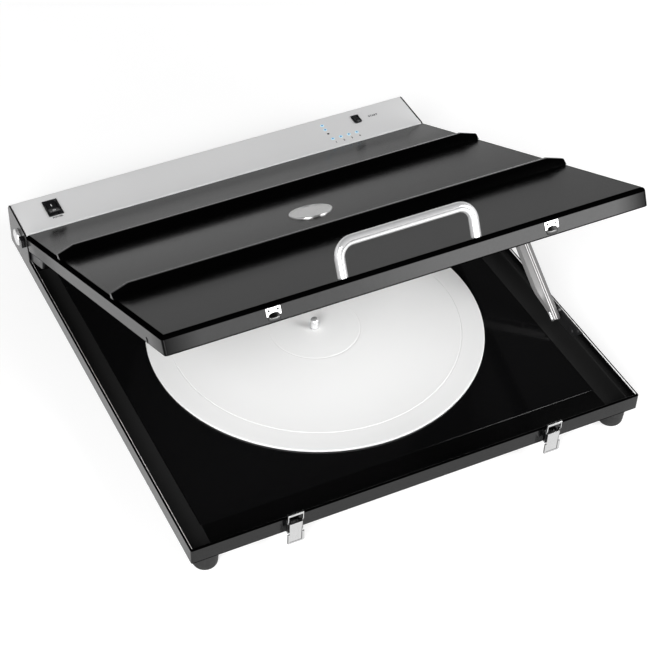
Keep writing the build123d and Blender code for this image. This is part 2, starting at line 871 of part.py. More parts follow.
# Lid bracket for the stay: flange under the lid's top, plate and pivot pin
stay_v = -stay_top_v
stay_w_level = -stay_top_w
lid_bracket_x = inner_x - arm_gap - stay_plate_t
pin_x0 = stay_x0 - pin_end
with BuildPart() as stay_lid_bracket:
    with BuildSketch(side_of(lid, lid_bracket_x)):
        with Locations((stay_v, stay_w_level)):
            Circle(lid_bracket_half)
            Rectangle(
                2 * lid_bracket_half, lid_ceiling - stay_w_level, align=(Align.CENTER, Align.MIN)
            )
    extrude(amount=stay_plate_t)
    with BuildSketch(lid.offset(lid_ceiling - stay_plate_t)):
        with Locations((lid_bracket_x + stay_plate_t, stay_v)):
            Rectangle(lid_bracket_flange, 2 * lid_bracket_half, align=(Align.MAX, Align.CENTER))
    extrude(amount=stay_plate_t)
    with BuildSketch(side_of(lid, pin_x0)):
        with Locations((stay_v, stay_w_level)):
            Circle(stay_pin_r)
    extrude(amount=lid_bracket_x - pin_x0)

# Stay arm: channel from the lid's pin down to the stub, with a long slot in each side
stay_top = lid.from_local_coords((0, stay_v, stay_w_level))
stay_run = stay_top.Y - stay_y
stay_rise = stay_top.Z - stay_z
stay_len = hypot(stay_run, stay_rise)
stay_angle = atan2(stay_rise, stay_run)
stay = Plane(origin=stay_top, x_dir=(1, 0, 0), z_dir=(0, -sin(stay_angle), cos(stay_angle)))
with BuildPart() as stay_arm:
    with BuildSketch(side_of(stay, stay_x0)):
        with Locations((stay_head, 0)):
            Rectangle(stay_len + stay_tail + stay_head, stay_h, align=(Align.MAX, Align.CENTER))
    extrude(amount=stay_w)
    with BuildSketch(front_of(stay, stay_head)):
        with Locations((stay_x0 + stay_w / 2, -stay_wall)):
            Rectangle(stay_w - 2 * stay_wall, stay_h)
    extrude(amount=stay_len + stay_tail + stay_head, mode=Mode.SUBTRACT)
    with BuildSketch(side_of(stay, stay_x0)):
        Circle(stay_pin_r + fit_gap)
        with Locations((-stay_len + stay_slot_l / 2, 0)):
            SlotOverall(stay_slot_l + 2 * stay_stub_r, 2 * stay_stub_r)
    extrude(amount=stay_w, mode=Mode.SUBTRACT)


# Latch levers: channel on the pivot pin, flat tab at the lower end
def build_lever(x):
    lever_high = pivot_z + lever_top
    lever_low = lever_high - lever_l
    flange_low = pivot_z - loop_pin_drop - 2 * ear_r
    inner_face = front - lever_face + lever_t
    with BuildPart() as lever:
        with BuildSketch(front_of(upright, inner_face)):
            with Locations((x, lever_high)):
                Rectangle(2 * (flange_x + leaf_t), lever_l, align=(Align.CENTER, Align.MAX))
            with Locations((x, lever_low)):
                Rectangle(lever_tab_w, lever_tab_l, align=(Align.CENTER, Align.MIN))
        extrude(amount=lever_t)
        low_edges = lever.edges().filter_by(Axis.Y).group_by(Axis.Z)[0]
        chamfer(low_edges, rim_r)
        for leaf in (-flange_x - leaf_t, flange_x):
            with BuildSketch(side_of(upright, x + leaf)):
                side_face(
                    (
                        (inner_face, lever_high),
                        (pivot_plane_y, lever_high),
                        (pivot_plane_y + ear_r, pivot_z),
                        (pivot_plane_y + ear_r / 2, flange_low + ear_r),
                        (inner_face, flange_low),
                    )
                )
                with Locations((pivot_plane_y, pivot_z)):
                    Circle(latch_pin_r + fit_gap, mode=Mode.SUBTRACT)
                with Locations((front - loop_out, pivot_z - loop_pin_drop)):
                    Circle(latch_pin_r + fit_gap, mode=Mode.SUBTRACT)
            extrude(amount=leaf_t)
    return lever


lever_left = build_lever(-latch_x)
lever_right = build_lever(latch_x)


# Latch loops: two arms, a cross bar on top and a pin through the lever below
def build_loop(x):
    loop_y = front - loop_out
    loop_low = pivot_z - loop_pin_drop
    loop_high = z_rim + loop_rise
    bar_inner = front - lid_over - catch_t - hook_out - loop_gap
    bar_outer = front - lever_face + seat
    with BuildPart() as loop:
        for leaf in (-arm_x - leaf_t, arm_x):
            with BuildSketch(side_of(upright, x + leaf)):
                with Locations((loop_y, loop_low)):
                    Circle(loop_arm_d / 2)
                    Rectangle(loop_arm_d, z_rim - loop_low, align=(Align.CENTER, Align.MIN))
                side_face(
                    (
                        (loop_y - loop_arm_d / 2, z_rim - latch_pin_r),
                        (bar_outer, z_rim + latch_pin_r),
                        (bar_outer, loop_high),
                        (bar_inner, loop_high),
                        (bar_inner, z_rim - rim_gap),
                        (loop_y + loop_arm_d / 2, z_rim - latch_pin_r),
                    )
                )
            extrude(amount=leaf_t)
        with BuildSketch(side_of(upright, x - arm_x - leaf_t)):
            with Locations((bar_inner, loop_high)):
                Rectangle(bar_inner - bar_outer, loop_bar_t, align=(Align.MAX, Align.MAX))
            with Locations((bar_outer, loop_high)):
                Rectangle(loop_bar_t, 2 * loop_bar_t, align=(Align.MIN, Align.MAX))
        extrude(amount=2 * arm_x + 2 * leaf_t)
        with BuildSketch(side_of(upright, x - arm_x)):
            with Locations((loop_y, loop_low)):
                Circle(latch_pin_r)
        extrude(amount=2 * arm_x)
    return loop


loop_left = build_loop(-latch_x)
loop_right = build_loop(latch_x)

# One file for each named piece
pieces = {
    "base_tray": base_tray,
    "bottom_pan": bottom_pan,
    "lower_insulation": lower_insulation,
    "lower_heater": lower_heater,
    "bed_plate": bed_plate,
    "white_disc": white_disc,
    "spindle": spindle,
    "feet": feet,
    "housing_front": housing_front,
    "control_panel": control_panel,
    "light_guide": light_guide,
    "switch_body": switch_body,
    "power_rocker": power_rocker,
    "button_bezel": button_bezel,
    "start_button": start_button,
    "control_board": control_board,
    "board_posts": board_posts,
    "power_supply": power_supply,
    "power_inlet": power_inlet,
    "hinge_pins": hinge_pins,
    "stop_left": stop_left,
    "stop_right": stop_right,
    "latch_bases": latch_bases,
    "stay_bracket": stay_bracket,
    "lid_shell": lid_shell,
    "rib_rear": rib_rear,
    "rib_front": rib_front,
    "badge": badge,
    "handle": handle,
    "press_plate": press_plate,
    "upper_heater": upper_heater,
    "upper_insulation": upper_insulation,
    "hinge_arm_left": hinge_arm_left,
    "hinge_arm_right": hinge_arm_right,
    "catch_left": catch_left,
    "catch_right": catch_right,
    "stay_lid_bracket": stay_lid_bracket,
    "stay_arm": stay_arm,
    "lever_left": lever_left,
    "lever_right": lever_right,
    "loop_left": loop_left,
    "loop_right": loop_right,
}
for name, piece in pieces.items():
    piece.part.label = name
    export_step(piece.part, f"parts/{name}.step")
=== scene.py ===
import json
from math import atan2, cos, pi, radians, sin, sqrt

import bmesh
import bpy
from mathutils import Matrix, Vector


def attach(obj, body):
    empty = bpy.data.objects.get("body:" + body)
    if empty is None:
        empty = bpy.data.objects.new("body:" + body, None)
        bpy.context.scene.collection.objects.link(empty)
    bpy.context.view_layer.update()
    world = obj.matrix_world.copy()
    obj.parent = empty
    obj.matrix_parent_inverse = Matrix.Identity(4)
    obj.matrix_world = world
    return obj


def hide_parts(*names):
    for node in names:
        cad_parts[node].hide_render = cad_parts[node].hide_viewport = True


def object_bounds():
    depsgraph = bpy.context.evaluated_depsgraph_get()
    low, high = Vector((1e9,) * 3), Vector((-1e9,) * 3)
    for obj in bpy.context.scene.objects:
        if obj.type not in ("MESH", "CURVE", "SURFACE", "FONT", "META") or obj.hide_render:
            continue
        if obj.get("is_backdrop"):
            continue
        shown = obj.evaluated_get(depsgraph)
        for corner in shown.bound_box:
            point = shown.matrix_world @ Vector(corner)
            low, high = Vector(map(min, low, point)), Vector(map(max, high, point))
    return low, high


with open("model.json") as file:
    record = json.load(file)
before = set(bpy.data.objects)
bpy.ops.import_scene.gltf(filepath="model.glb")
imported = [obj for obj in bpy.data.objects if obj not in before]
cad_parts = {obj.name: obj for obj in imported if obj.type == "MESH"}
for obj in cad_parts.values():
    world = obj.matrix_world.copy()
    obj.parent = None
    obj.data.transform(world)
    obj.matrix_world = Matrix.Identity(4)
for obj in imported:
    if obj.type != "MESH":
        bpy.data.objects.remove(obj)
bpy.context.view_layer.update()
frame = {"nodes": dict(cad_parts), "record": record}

MM = 0.001
# Values of the attribute by which the coats and metals paint shade (positive), and light and highlights
# (negative), at marked points
PAINTED_SHADE, PAINTED_LIGHT, PAINTED_HIGHLIGHT = 1.0, -1.0, -3.0
scene = bpy.context.scene
nodes = frame["nodes"]
record = frame["record"]
slot_of = {s["node"]: s["material_slot"] for s in record["subparts"]}
body_of = {n: b for b, members in record["behaviour"]["bodies"].items() for n in members}

# ---------------------------------------------------------------- materials

# Sockets of a colour mix node
MIX_FACTOR, MIX_A, MIX_B, MIX_RESULT = 0, 6, 7, 2


class Paint:
    """A material under construction: keeps the node tree and adds nodes to it by type."""

    def __init__(self, name, color, rough, metal=0.0, spec=0.5):
        self.mat = bpy.data.materials.new(name)
        self.mat.use_nodes = True
        self.mat.diffuse_color = (*color, 1.0)
        self.tree = self.mat.node_tree
        self.shader = self.tree.nodes["Principled BSDF"]
        self.color = color
        self.set(self.shader, "Base Color", (*color, 1.0))
        self.set(self.shader, "Roughness", rough)
        self.set(self.shader, "Metallic", metal)
        self.set(self.shader, "Specular IOR Level", spec)
        self.place = self.add("ShaderNodeTexCoord").outputs["Object"]
        self.relief = None

    def add(self, kind, **values):
        node = self.tree.nodes.new(kind)
        for key, value in values.items():
            if hasattr(node, key):
                setattr(node, key, value)
            else:
                self.set(node, key.replace("_", " "), value)
        return node

    def set(self, node, socket, value):
        node.inputs[socket].default_value = value

    def join(self, source, node, socket):
        self.tree.links.new(source, node.inputs[socket])

    def stretched(self, scale):
        mapping = self.add("ShaderNodeMapping")
        self.set(mapping, "Scale", scale)
        self.join(self.place, mapping, "Vector")
        return mapping.outputs["Vector"]

    def noise(self, size, detail=3.0, rough=0.55, stretch=None):
        """Noise whose blotches are about size millimetres across."""
        node = self.add("ShaderNodeTexNoise", Scale=1.0 / (size * MM), Detail=detail, Roughness=rough)
        self.join(self.stretched(stretch) if stretch else self.place, node, "Vector")
        return node.outputs["Fac"]

    def marks(self):
        """The value at each point of the attribute that marks painted shade, light and highlights."""
        return self.add("ShaderNodeAttribute", attribute_name="light_and_shade").outputs["Fac"]

    def span(self, source, low, high, out_low, out_high, smooth=False):
        """The source from low to high, mapped to the range from out_low to out_high."""
        node = self.add("ShaderNodeMapRange")
        if smooth:
            node.interpolation_type = "SMOOTHSTEP"
        ends = {"From Min": low, "From Max": high, "To Min": out_low, "To Max": out_high}
        for socket, value in ends.items():
            self.set(node, socket, value)
        self.join(source, node, "Value")
        return node.outputs["Result"]

    def tint(self, source, low, high, color, amount=1.0):
        """Mixes a colour in where the source runs from low to high."""
        mix = self.add("ShaderNodeMix", data_type="RGBA")
        self.join(self.span(source, low, high, 0.0, amount), mix, MIX_FACTOR)
        base = self.shader.inputs["Base Color"]
        if base.links:
            self.join(base.links[0].from_socket, mix, MIX_A)
        else:
            self.set(mix, MIX_A, (*self.color, 1.0))
        self.set(mix, MIX_B, (*color, 1.0))
        self.tree.links.new(mix.outputs[MIX_RESULT], base)

    def vary_rough(self, source, low, high, rough_low, rough_high):
        self.join(self.span(source, low, high, rough_low, rough_high), self.shader, "Roughness")

    def bump(self, source, depth):
        """Adds relief of about depth millimetres."""
        node = self.add("ShaderNodeBump", Strength=1.0, Distance=depth * MM)
        self.join(source, node, "Height")
        if self.relief:
            self.join(self.relief, node, "Normal")
        self.relief = node.outputs["Normal"]
        self.join(self.relief, self.shader, "Normal")


def toned(color, share, lift=0.0):
    """The colour times a share, plus a lift."""
    return tuple(min(1.0, c * share + lift) for c in color)


def powder_coat(name, color, grain=0.8, depth=0.012, rough=0.17, spec=0.28, rear_shade=None):
    """Fine-grained coat, with painted shade, darker and less glossy, where marked as shaded, painted
    light where marked as lit and near-white painted highlights where marked for highlights. The
    argument for the rear's painted shade is (near, far, share): the gloss falls to a share from y =
    near to y = far, in metres."""
    p = Paint(name, color, rough, spec=spec)
    fine = p.noise(grain, detail=4.0, rough=0.6)
    light_and_shade = p.marks()
    p.bump(fine, depth)
    p.bump(p.noise(2.4, detail=2.0), depth)
    p.tint(fine, 0.52, 0.72, toned(color, 1.7, 0.001), 0.6)
    p.tint(p.noise(60.0, detail=3.0), 0.35, 0.75, toned(color, 1.2), 0.5)
    # Painted light, painted highlights and painted shade at the marked points
    p.tint(light_and_shade, 0.0, PAINTED_LIGHT, toned(color, 1.0, 0.0145))
    p.tint(light_and_shade, PAINTED_LIGHT - 0.1, PAINTED_HIGHLIGHT, (0.8, 0.8, 0.8))
    p.tint(light_and_shade, 0.0, PAINTED_SHADE, toned(color, 0.3))
    p.vary_rough(fine, 0.35, 0.7, rough - 0.04, rough + 0.07)
    gloss = p.add("ShaderNodeMath", operation="MULTIPLY")
    p.join(p.span(fine, 0.3, 0.7, spec * 0.8, spec * 1.2), gloss, 0)
    p.join(p.span(light_and_shade, 0.0, PAINTED_SHADE, 1.0, 0.0), gloss, 1)
    # Painted shade: the gloss falls along y towards the rear
    if rear_shade:
        near, far, share = rear_shade
        split = p.add("ShaderNodeSeparateXYZ")
        p.join(p.place, split, 0)
        gloss_in_shade = p.add("ShaderNodeMath", operation="MULTIPLY")
        p.join(gloss.outputs[0], gloss_in_shade, 0)
        p.join(p.span(split.outputs["Y"], near, far, 1.0, share, smooth=True), gloss_in_shade, 1)
        gloss = gloss_in_shade
    p.join(gloss.outputs[0], p.shader, "Specular IOR Level")
    return p.mat


def polished(name, color, rough=0.07, metal=1.0):
    """Plated metal, with painted shade where it is marked: dark and without gloss there."""
    p = Paint(name, color, rough, metal=metal)
    haze = p.noise(9.0, detail=5.0)
    p.vary_rough(haze, 0.3, 0.75, rough * 0.6, rough * 2.0)
    p.bump(p.noise(14.0, detail=2.0), 0.012)
    p.tint(p.noise(3.0, detail=4.0), 0.45, 0.75, toned(color, 0.88), 0.5)
    # Painted shade at marked points: dark and without gloss
    light_and_shade = p.marks()
    p.tint(light_and_shade, 0.0, PAINTED_SHADE, (0.004, 0.004, 0.004))
    p.join(p.span(light_and_shade, 0.0, PAINTED_SHADE, 0.5, 0.0), p.shader, "Specular IOR Level")
    return p.mat


def satin_metal(name, color, rough=0.36, stretch=(0.06, 1.0, 1.0), metal=1.0):
    """Brushed or satin sheet; the stretch draws its grain out along one axis. Points marked as shaded,
    such as pressed lines, get painted shade, dark, and points marked as lit, such as ridges, get
    painted highlights, bright."""
    p = Paint(name, color, rough, metal=metal)
    light_and_shade = p.marks()
    hairs = p.noise(0.5, detail=5.0, rough=0.7, stretch=stretch)
    cloud = p.noise(45.0, detail=2.0)
    p.bump(hairs, 0.004)
    p.tint(hairs, 0.4, 0.7, toned(color, 0.9), 0.5)
    p.tint(cloud, 0.35, 0.7, toned(color, 1.06), 0.5)
    # Painted shade and painted highlights at marked points
    p.tint(light_and_shade, 0.0, PAINTED_SHADE, toned(color, 0.03))
    p.tint(light_and_shade, 0.0, PAINTED_LIGHT, (0.95, 0.93, 0.93))
    p.vary_rough(hairs, 0.3, 0.7, rough - 0.05, rough + 0.06)
    return p.mat


def plastic(name, color, rough=0.35, grain=0.4, depth=0.01, spec=0.5):
    p = Paint(name, color, rough, spec=spec)
    fine = p.noise(grain, detail=3.0)
    p.bump(fine, depth)
    p.tint(p.noise(12.0, detail=4.0), 0.4, 0.7, toned(color, 1.15, 0.002), 0.5)
    p.vary_rough(p.noise(7.0, detail=4.0), 0.3, 0.7, rough - 0.05, rough + 0.08)
    return p.mat


def rubber(name, color):
    p = Paint(name, color, 0.72, spec=0.3)
    p.bump(p.noise(0.7, detail=4.0), 0.05)
    p.tint(p.noise(5.0, detail=5.0), 0.45, 0.7, toned(color, 1.8, 0.006), 0.5)
    return p.mat


def fibre(name, color):
    p = Paint(name, color, 0.95, spec=0.1)
    strands = p.noise(1.2, detail=6.0, rough=0.75, stretch=(0.25, 1.0, 1.0))
    p.bump(strands, 0.25)
    p.tint(strands, 0.35, 0.7, toned(color, 0.72), 0.7)
    return p.mat


def satin_paint(name, color, rough=0.42, centre_light=None):
    """Even satin coat with a very fine grain. The argument for painted light is (centre, near, far,
    colour):
    the coat is painted lighter towards a centre, with distances in metres."""
    p = Paint(name, color, rough, spec=0.35)
    fine = p.noise(0.35, detail=4.0)
    p.bump(fine, 0.008)
    p.tint(fine, 0.45, 0.75, toned(color, 1.05), 0.5)
    p.tint(p.noise(90.0, detail=2.0), 0.4, 0.7, toned(color, 0.96), 0.5)
    p.vary_rough(fine, 0.3, 0.7, rough - 0.04, rough + 0.06)
    if centre_light:
        centre, near, far, lit_color = centre_light
        away = p.add("ShaderNodeVectorMath", operation="DISTANCE")
        p.join(p.place, away, 0)
        p.set(away, 1, centre)
        p.tint(away.outputs["Value"], far, near, lit_color)
    return p.mat


def gloss_black(name):
    """Glass-like black coat with faint waviness and fine wipe marks."""
    p = Paint(name, (0.003, 0.003, 0.0032), 0.08, spec=0.4)
    p.bump(p.noise(55.0, detail=1.0), 0.05)
    wipes = p.noise(6.0, detail=6.0, rough=0.7, stretch=(0.15, 1.0, 1.0))
    p.vary_rough(wipes, 0.4, 0.75, 0.06, 0.14)
    p.tint(p.noise(1.2, detail=3.0), 0.62, 0.8, (0.012, 0.012, 0.012), 0.5)
    return p.mat


BLACK = (0.0016, 0.0016, 0.0017)
# Painted light: the disc is lighter towards its middle, under the lid
DISC_CENTRE_LIGHT = ((0.0, -0.0117, 0.02), 0.03, 0.14, (0.97, 0.97, 0.965))
mats = {
    "tray_paint": powder_coat("tray_powder_coat", BLACK),
    # The lid's coat loses gloss towards its hinge, a painted shade
    "lid_paint": powder_coat("lid_powder_coat", BLACK, rear_shade=(0.04, 0.115, 0.3)),
    "pan_steel": plastic("black_sheet", (0.012, 0.012, 0.0125), rough=0.4),
    "insulation": fibre("pressed_fibre", (0.62, 0.58, 0.48)),
    "heater_mat": rubber("silicone_mat", (0.42, 0.09, 0.04)),
    "bed_black": gloss_black("bed_gloss_black"),
    "disc_white": satin_paint("disc_satin_white", (0.79, 0.79, 0.787), rough=0.55, centre_light=DISC_CENTRE_LIGHT),
    "chrome": polished("chrome_plate", (0.76, 0.76, 0.765), metal=0.62),
    "foot_rubber": rubber("foot_rubber", (0.009, 0.009, 0.009)),
    "screw_steel": polished("zinc_plate", (0.55, 0.55, 0.54), rough=0.28),
    "panel_silver": satin_paint("panel_satin", (0.7, 0.7, 0.703)),
    "light_clear": plastic("clear_window", (0.12, 0.36, 0.68), rough=0.15),
    "switch_black": plastic("switch_gloss", (0.008, 0.008, 0.009), rough=0.25),
    "board_green": plastic("board_mask", (0.02, 0.12, 0.05), rough=0.3),
    "supply_case": satin_metal("supply_case", (0.5, 0.5, 0.5)),
    "stay_silver": satin_metal(
        "stay_satin", (0.24, 0.236, 0.236), rough=0.5, stretch=(1.0, 0.06, 1.0), metal=0.45
    ),
    "badge_silver": satin_metal("badge_satin", (0.7, 0.7, 0.7), rough=0.3),
}
for name, obj in nodes.items():
    if obj.data.materials:
        obj.data.materials[0] = mats[slot_of[name]]
    else:
        obj.data.materials.append(mats[slot_of[name]])


def glow(name, color, strength):
    p = Paint(name, color, 0.3, spec=0.4)
    p.set(p.shader, "Emission Color", (*color, 1.0))
    p.set(p.shader, "Emission Strength", strength)
    cells = p.noise(0.5, detail=2.0)
    p.bump(cells, 0.02)
    p.vary_rough(cells, 0.3, 0.7, 0.2, 0.4)
    return p.mat


lit_blue = glow("lit_window", (0.6, 0.83, 0.95), 0.12)
latch_steel = satin_metal("latch_steel", (0.56, 0.56, 0.56), rough=0.24, stretch=(1.0, 1.0, 0.08))
print_dark = plastic("print_dark", (0.05, 0.05, 0.055), rough=0.6, depth=0.002)
print_white = plastic("print_white", (0.8, 0.8, 0.8), rough=0.5, depth=0.002)

# ---------------------------------------------------------------- building forms

# Sizes in mm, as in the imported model; those of the lid are in its own axes, which start at the hinge
HALF_W = 201.0
FRONT, REAR = -210.2, 214.8
Z_UNDER, Z_FLOOR, Z_RIM = 16.5, 18.0, 33.0
SHEET = 1.5
HOUSE_Y = 160.8
Z_SEAM = 47.5
BED_Y, BED_W, BED_D = -11.7, 359.0, 332.8
HINGE_Y, HINGE_Z = 185.8, 43.0
LID_TILT = radians(25.8)
LID_REAR, LID_FRONT = -26.2, -397.8
LID_FOOT, LID_TOP = -9.5, 6.0
PANEL_SLOPE = atan2(60.8 - 59.1, 210.5 - 166.2)
LATCH_X = 115.5
SHARP_DEG = 28.0  # edges sharper than this are rounded
CORNER_STEPS = 5  # pieces of a rounded corner
LINE_SPREAD = 0.02  # half width of the painted dark reflection along a rod, as 1 - cosine

ORDER = {
    "x": lambda a, b, c: (c, a, b),
    "y": lambda a, b, c: (a, c, b),
    "z": lambda a, b, c: (a, b, c),
}


def axes(origin, slope=0.0):
    """Local millimetres to world metres, turned about the x axis: y climbs by the slope."""
    turn = Matrix.Rotation(slope, 4, "X")
    return Matrix.Scale(MM, 4) @ Matrix.Translation(Vector(origin)) @ turn


BASE = axes((0, 0, 0))
LID = axes((0, HINGE_Y, HINGE_Z), -LID_TILT)
PANEL = axes((0, 166.2, 59.1), PANEL_SLOPE)


def as_object(name, mesh, body, slot, *replaced, material=None):
    """Makes a shown piece of a mesh: material from its slot, riding on its body."""
    obj = bpy.data.objects.new(name, mesh)
    scene.collection.objects.link(obj)
    mesh.materials.clear()
    mesh.materials.append(material or mats[slot])
    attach(obj, body)
    if replaced:
        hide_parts(*replaced)
    return obj


def round_edges(obj, width, segments=2, angle=SHARP_DEG, by_weight=False):
    bevel = obj.modifiers.new("edges", "BEVEL")
    bevel.width = width * MM
    bevel.segments = segments
    bevel.limit_method = "WEIGHT" if by_weight else "ANGLE"
    bevel.angle_limit = radians(angle)
    bevel.miter_outer = "MITER_ARC"
    bevel.harden_normals = False
    return obj


def dress(node, width=0.3, segments=2, heavy=None):
    """A CAD form with its edges rounded, in place of the node. Heavy picks the edges that get the
    full width; without it every sharp edge does."""
    mesh = nodes[node].data.copy()
    bm = bmesh.new()
    bm.from_mesh(mesh)
    bmesh.ops.remove_doubles(bm, verts=bm.verts, dist=0.002 * MM)
    bmesh.ops.dissolve_limit(bm, angle_limit=radians(0.8), verts=bm.verts, edges=bm.edges)
    for face in bm.faces:
        face.smooth = True
    if heavy:
        layer = bm.edges.layers.float.new("bevel_weight_edge")
        for edge in bm.edges:
            sharp = len(edge.link_faces) == 2 and edge.calc_face_angle() > radians(SHARP_DEG)
            if sharp and heavy(edge):
                edge[layer] = 1.0
    bm.to_mesh(mesh)
    bm.free()
    mesh.set_sharp_from_angle(angle=radians(35))
    obj = as_object(node + "_skin", mesh, body_of[node], slot_of[node], node)
    return round_edges(obj, width, segments, by_weight=heavy is not None)


def arc(cx, cy, radius, start, stop, n=6):
    """Points of an arc, angles in degrees."""
    turns = [radians(start + (stop - start) * i / n) for i in range(n + 1)]
    return [(cx + radius * cos(t), cy + radius * sin(t)) for t in turns]


def round_rect(cx, cy, w, d, r, n=CORNER_STEPS, pads=()):
    """Corner by corner from the right rear one; each pad adds a point on both sides of every corner."""
    points = []
    for k, (sx, sy) in enumerate(((1, 1), (-1, 1), (-1, -1), (1, -1))):
        x, y = cx + sx * (w / 2 - r), cy + sy * (d / 2 - r)
        corner_points = arc(x, y, r, 90 * k, 90 * k + 90, n)
        (ax, ay), (bx, by) = corner_points[0], corner_points[-1]
        tx, ty = sin(k * pi / 2), cos(k * pi / 2)
        for pad in pads:
            corner_points.insert(0, (ax + pad * tx, ay - pad * ty))
            corner_points.append((bx - pad * ty, by - pad * tx))
        points += corner_points
    return points


class Form:
    """A mesh under construction, in local millimetres of one set of axes."""

    def __init__(self, place):
        self.place = place
        self.bm = bmesh.new()
        self.light_and_shade = self.bm.verts.layers.float.new("light_and_shade")

    def ring(self, points, light_and_shade=0.0):
        """The mark for painted shade or light is one value for the ring, or a list with one value for
        each point.
        """
        verts = [self.bm.verts.new(self.place @ Vector(p)) for p in points]
        values = light_and_shade if isinstance(light_and_shade, list) else [light_and_shade] * len(verts)
        for vert, value in zip(verts, values):
            vert[self.light_and_shade] = value
        return verts

    def level(self, outline, height, along="z", light_and_shade=0.0):
        return self.ring([ORDER[along](a, b, height) for a, b in outline], light_and_shade)

    def skin(self, rings, loop=False):
        """Joins rings of equal length one after another, closed by a loop or by two flat ends."""
        pairs = list(zip(rings, rings[1:]))
        if loop:
            pairs.append((rings[-1], rings[0]))
        for low, high in pairs:
            for i in range(len(low)):
                j = (i + 1) % len(low)
                self.bm.faces.new((low[i], low[j], high[j], high[i]))
        if not loop:
            self.bm.faces.new(rings[0][::-1])
            self.bm.faces.new(rings[-1])

    def prism(self, outline, low, high, along="z"):
        self.skin([self.level(outline, low, along), self.level(outline, high, along)])

    def washer(self, outer, inner, low, high, along="z"):
        """A plate with one hole; both outlines have the same number of points."""
        self.skin(
            [
                self.level(outer, low, along),
                self.level(outer, high, along),
                self.level(inner, high, along),
                self.level(inner, low, along),
            ],
            loop=True,
        )

    def turned(self, profile, centre=(0, 0), along="z", count=40, loop=False):
        """A round form from (radius, height) pairs about an axis through the centre."""
        rings = []
        for radius, height in profile:
            turns = [2 * pi * i / count for i in range(count)]
            outline = [(centre[0] + radius * cos(t), centre[1] + radius * sin(t)) for t in turns]
            rings.append(self.level(outline, height, along))
        self.skin(rings, loop=loop)

    def rod(self, path, radius, count=20, line=None):
        """A round rod along a path of points; its ends are flat. The line is a direction: points on
        that side of the rod are marked for a painted dark reflection."""
        rings = []
        spots = [Vector(p) for p in path]
        side = None
        for i, spot in enumerate(spots):
            before = spots[max(i - 1, 0)]
            after = spots[min(i + 1, len(spots) - 1)]
            ahead = (after - before).normalized()
            if side is None:
                side = ahead.orthogonal().normalized()
            side = (side - ahead * side.dot(ahead)).normalized()
            up = ahead.cross(side)
            turns = [2 * pi * k / count for k in range(count)]
            spokes = [side * cos(t) + up * sin(t) for t in turns]
            marks = 0.0
            if line:
                marks = [max(0.0, 1.0 - (1.0 - spoke.dot(line)) / LINE_SPREAD) for spoke in spokes]
            rings.append(self.ring([spot + spoke * radius for spoke in spokes], marks))
        self.skin(rings)

    def done(self, name, body, slot, *replaced, material=None, sharp=35.0):
        bmesh.ops.recalc_face_normals(self.bm, faces=self.bm.faces)
        for face in self.bm.faces:
            face.smooth = True
        mesh = bpy.data.meshes.new(name)
        self.bm.to_mesh(mesh)
        self.bm.free()
        mesh.set_sharp_from_angle(angle=radians(sharp))
        return as_object(name, mesh, body, slot, *replaced, material=material)


# ---------------------------------------------------------------- base tray

BASE_MID = (FRONT + REAR) / 2
SKIN = 0.02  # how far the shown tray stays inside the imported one
STRIP_X = 179.7  # where the strips beside the bed with painted light begin
FADE = 0.35
TRAY_BEND, TRAY_CORNER, FLOOR_BEND = 1.7, 1.5, 1.2
HEM, HEM_H, HEM_LIP = 2.15, 6.0, 0.3
# Marks for painted light on the strips of floor beside the bed, lighter than the rest of the coat
lit_side = [PAINTED_LIGHT] * (CORNER_STEPS + 4)
LIT_STRIPS = (lit_side + [0.0, 0.0] + lit_side) * 2
# Marks for a painted highlight along the hem's inner shoulder on the left and right sides
HIGHLIGHT_SIDES = ([PAINTED_HIGHLIGHT] * 3 + [0.0] * (2 * CORNER_STEPS + 4) + [PAINTED_HIGHLIGHT] * 3) * 2


def tray_ring(form, inset, height, light_and_shade=0.0):
    """One level of the tray's outline; its extra points bound the strips beside the bed."""
    w = 2 * (HALF_W - SKIN - inset)
    d = REAR - FRONT - 2 * (SKIN + inset)
    r = max(TRAY_CORNER - inset, 0.35)
    to_strip = w / 2 - r - STRIP_X
    outline = round_rect(0, BASE_MID, w, d, r, pads=(to_strip, to_strip + FADE))
    return form.level(outline, height, light_and_shade=light_and_shade)


tray = Form(BASE)
bed_opening = round_rect(0, BED_Y, BED_W, BED_D, 0.5, pads=(0.1, 0.1 + FADE))
rings = [tray.level(bed_opening, Z_UNDER)]
# The bend at the tray's foot gets painted shade
for inset, up in arc(TRAY_BEND, TRAY_BEND, TRAY_BEND, 270, 180):
    rings.append(tray_ring(tray, inset, Z_UNDER + up, PAINTED_SHADE))
rings.append(tray_ring(tray, 0.0, Z_UNDER + TRAY_BEND + FADE))
rings.append(tray_ring(tray, 0.0, Z_RIM - HEM / 2 - FADE))
# The hem's outer half gets painted shade; its inner shoulder gets a painted highlight on the left and
# right sides
for inset, up in arc(HEM / 2, 0, HEM / 2, 180, 0, n=12):
    light_and_shade = PAINTED_SHADE if inset < HEM * 0.7 else 0.0
    if HEM * 0.74 < inset < HEM * 0.99:
        light_and_shade = HIGHLIGHT_SIDES
    rings.append(tray_ring(tray, inset, Z_RIM - HEM / 2 + up, light_and_shade))
for inset, down in ((HEM, HEM_H), (HEM - 0.25, HEM_H + HEM_LIP), (SHEET, HEM_H + HEM_LIP)):
    rings.append(tray_ring(tray, inset, Z_RIM - down))
# The floor's bend and the floor beside the bed get painted light on the strips
for inset, up in arc(SHEET + FLOOR_BEND, FLOOR_BEND, FLOOR_BEND, 180, 270, n=4):
    rings.append(tray_ring(tray, inset, Z_FLOOR + up, LIT_STRIPS))
rings.append(tray.level(bed_opening, Z_FLOOR, light_and_shade=LIT_STRIPS))
tray.skin(rings, loop=True)
tray.done("tray_skin", "base", "tray_paint", "base_tray")

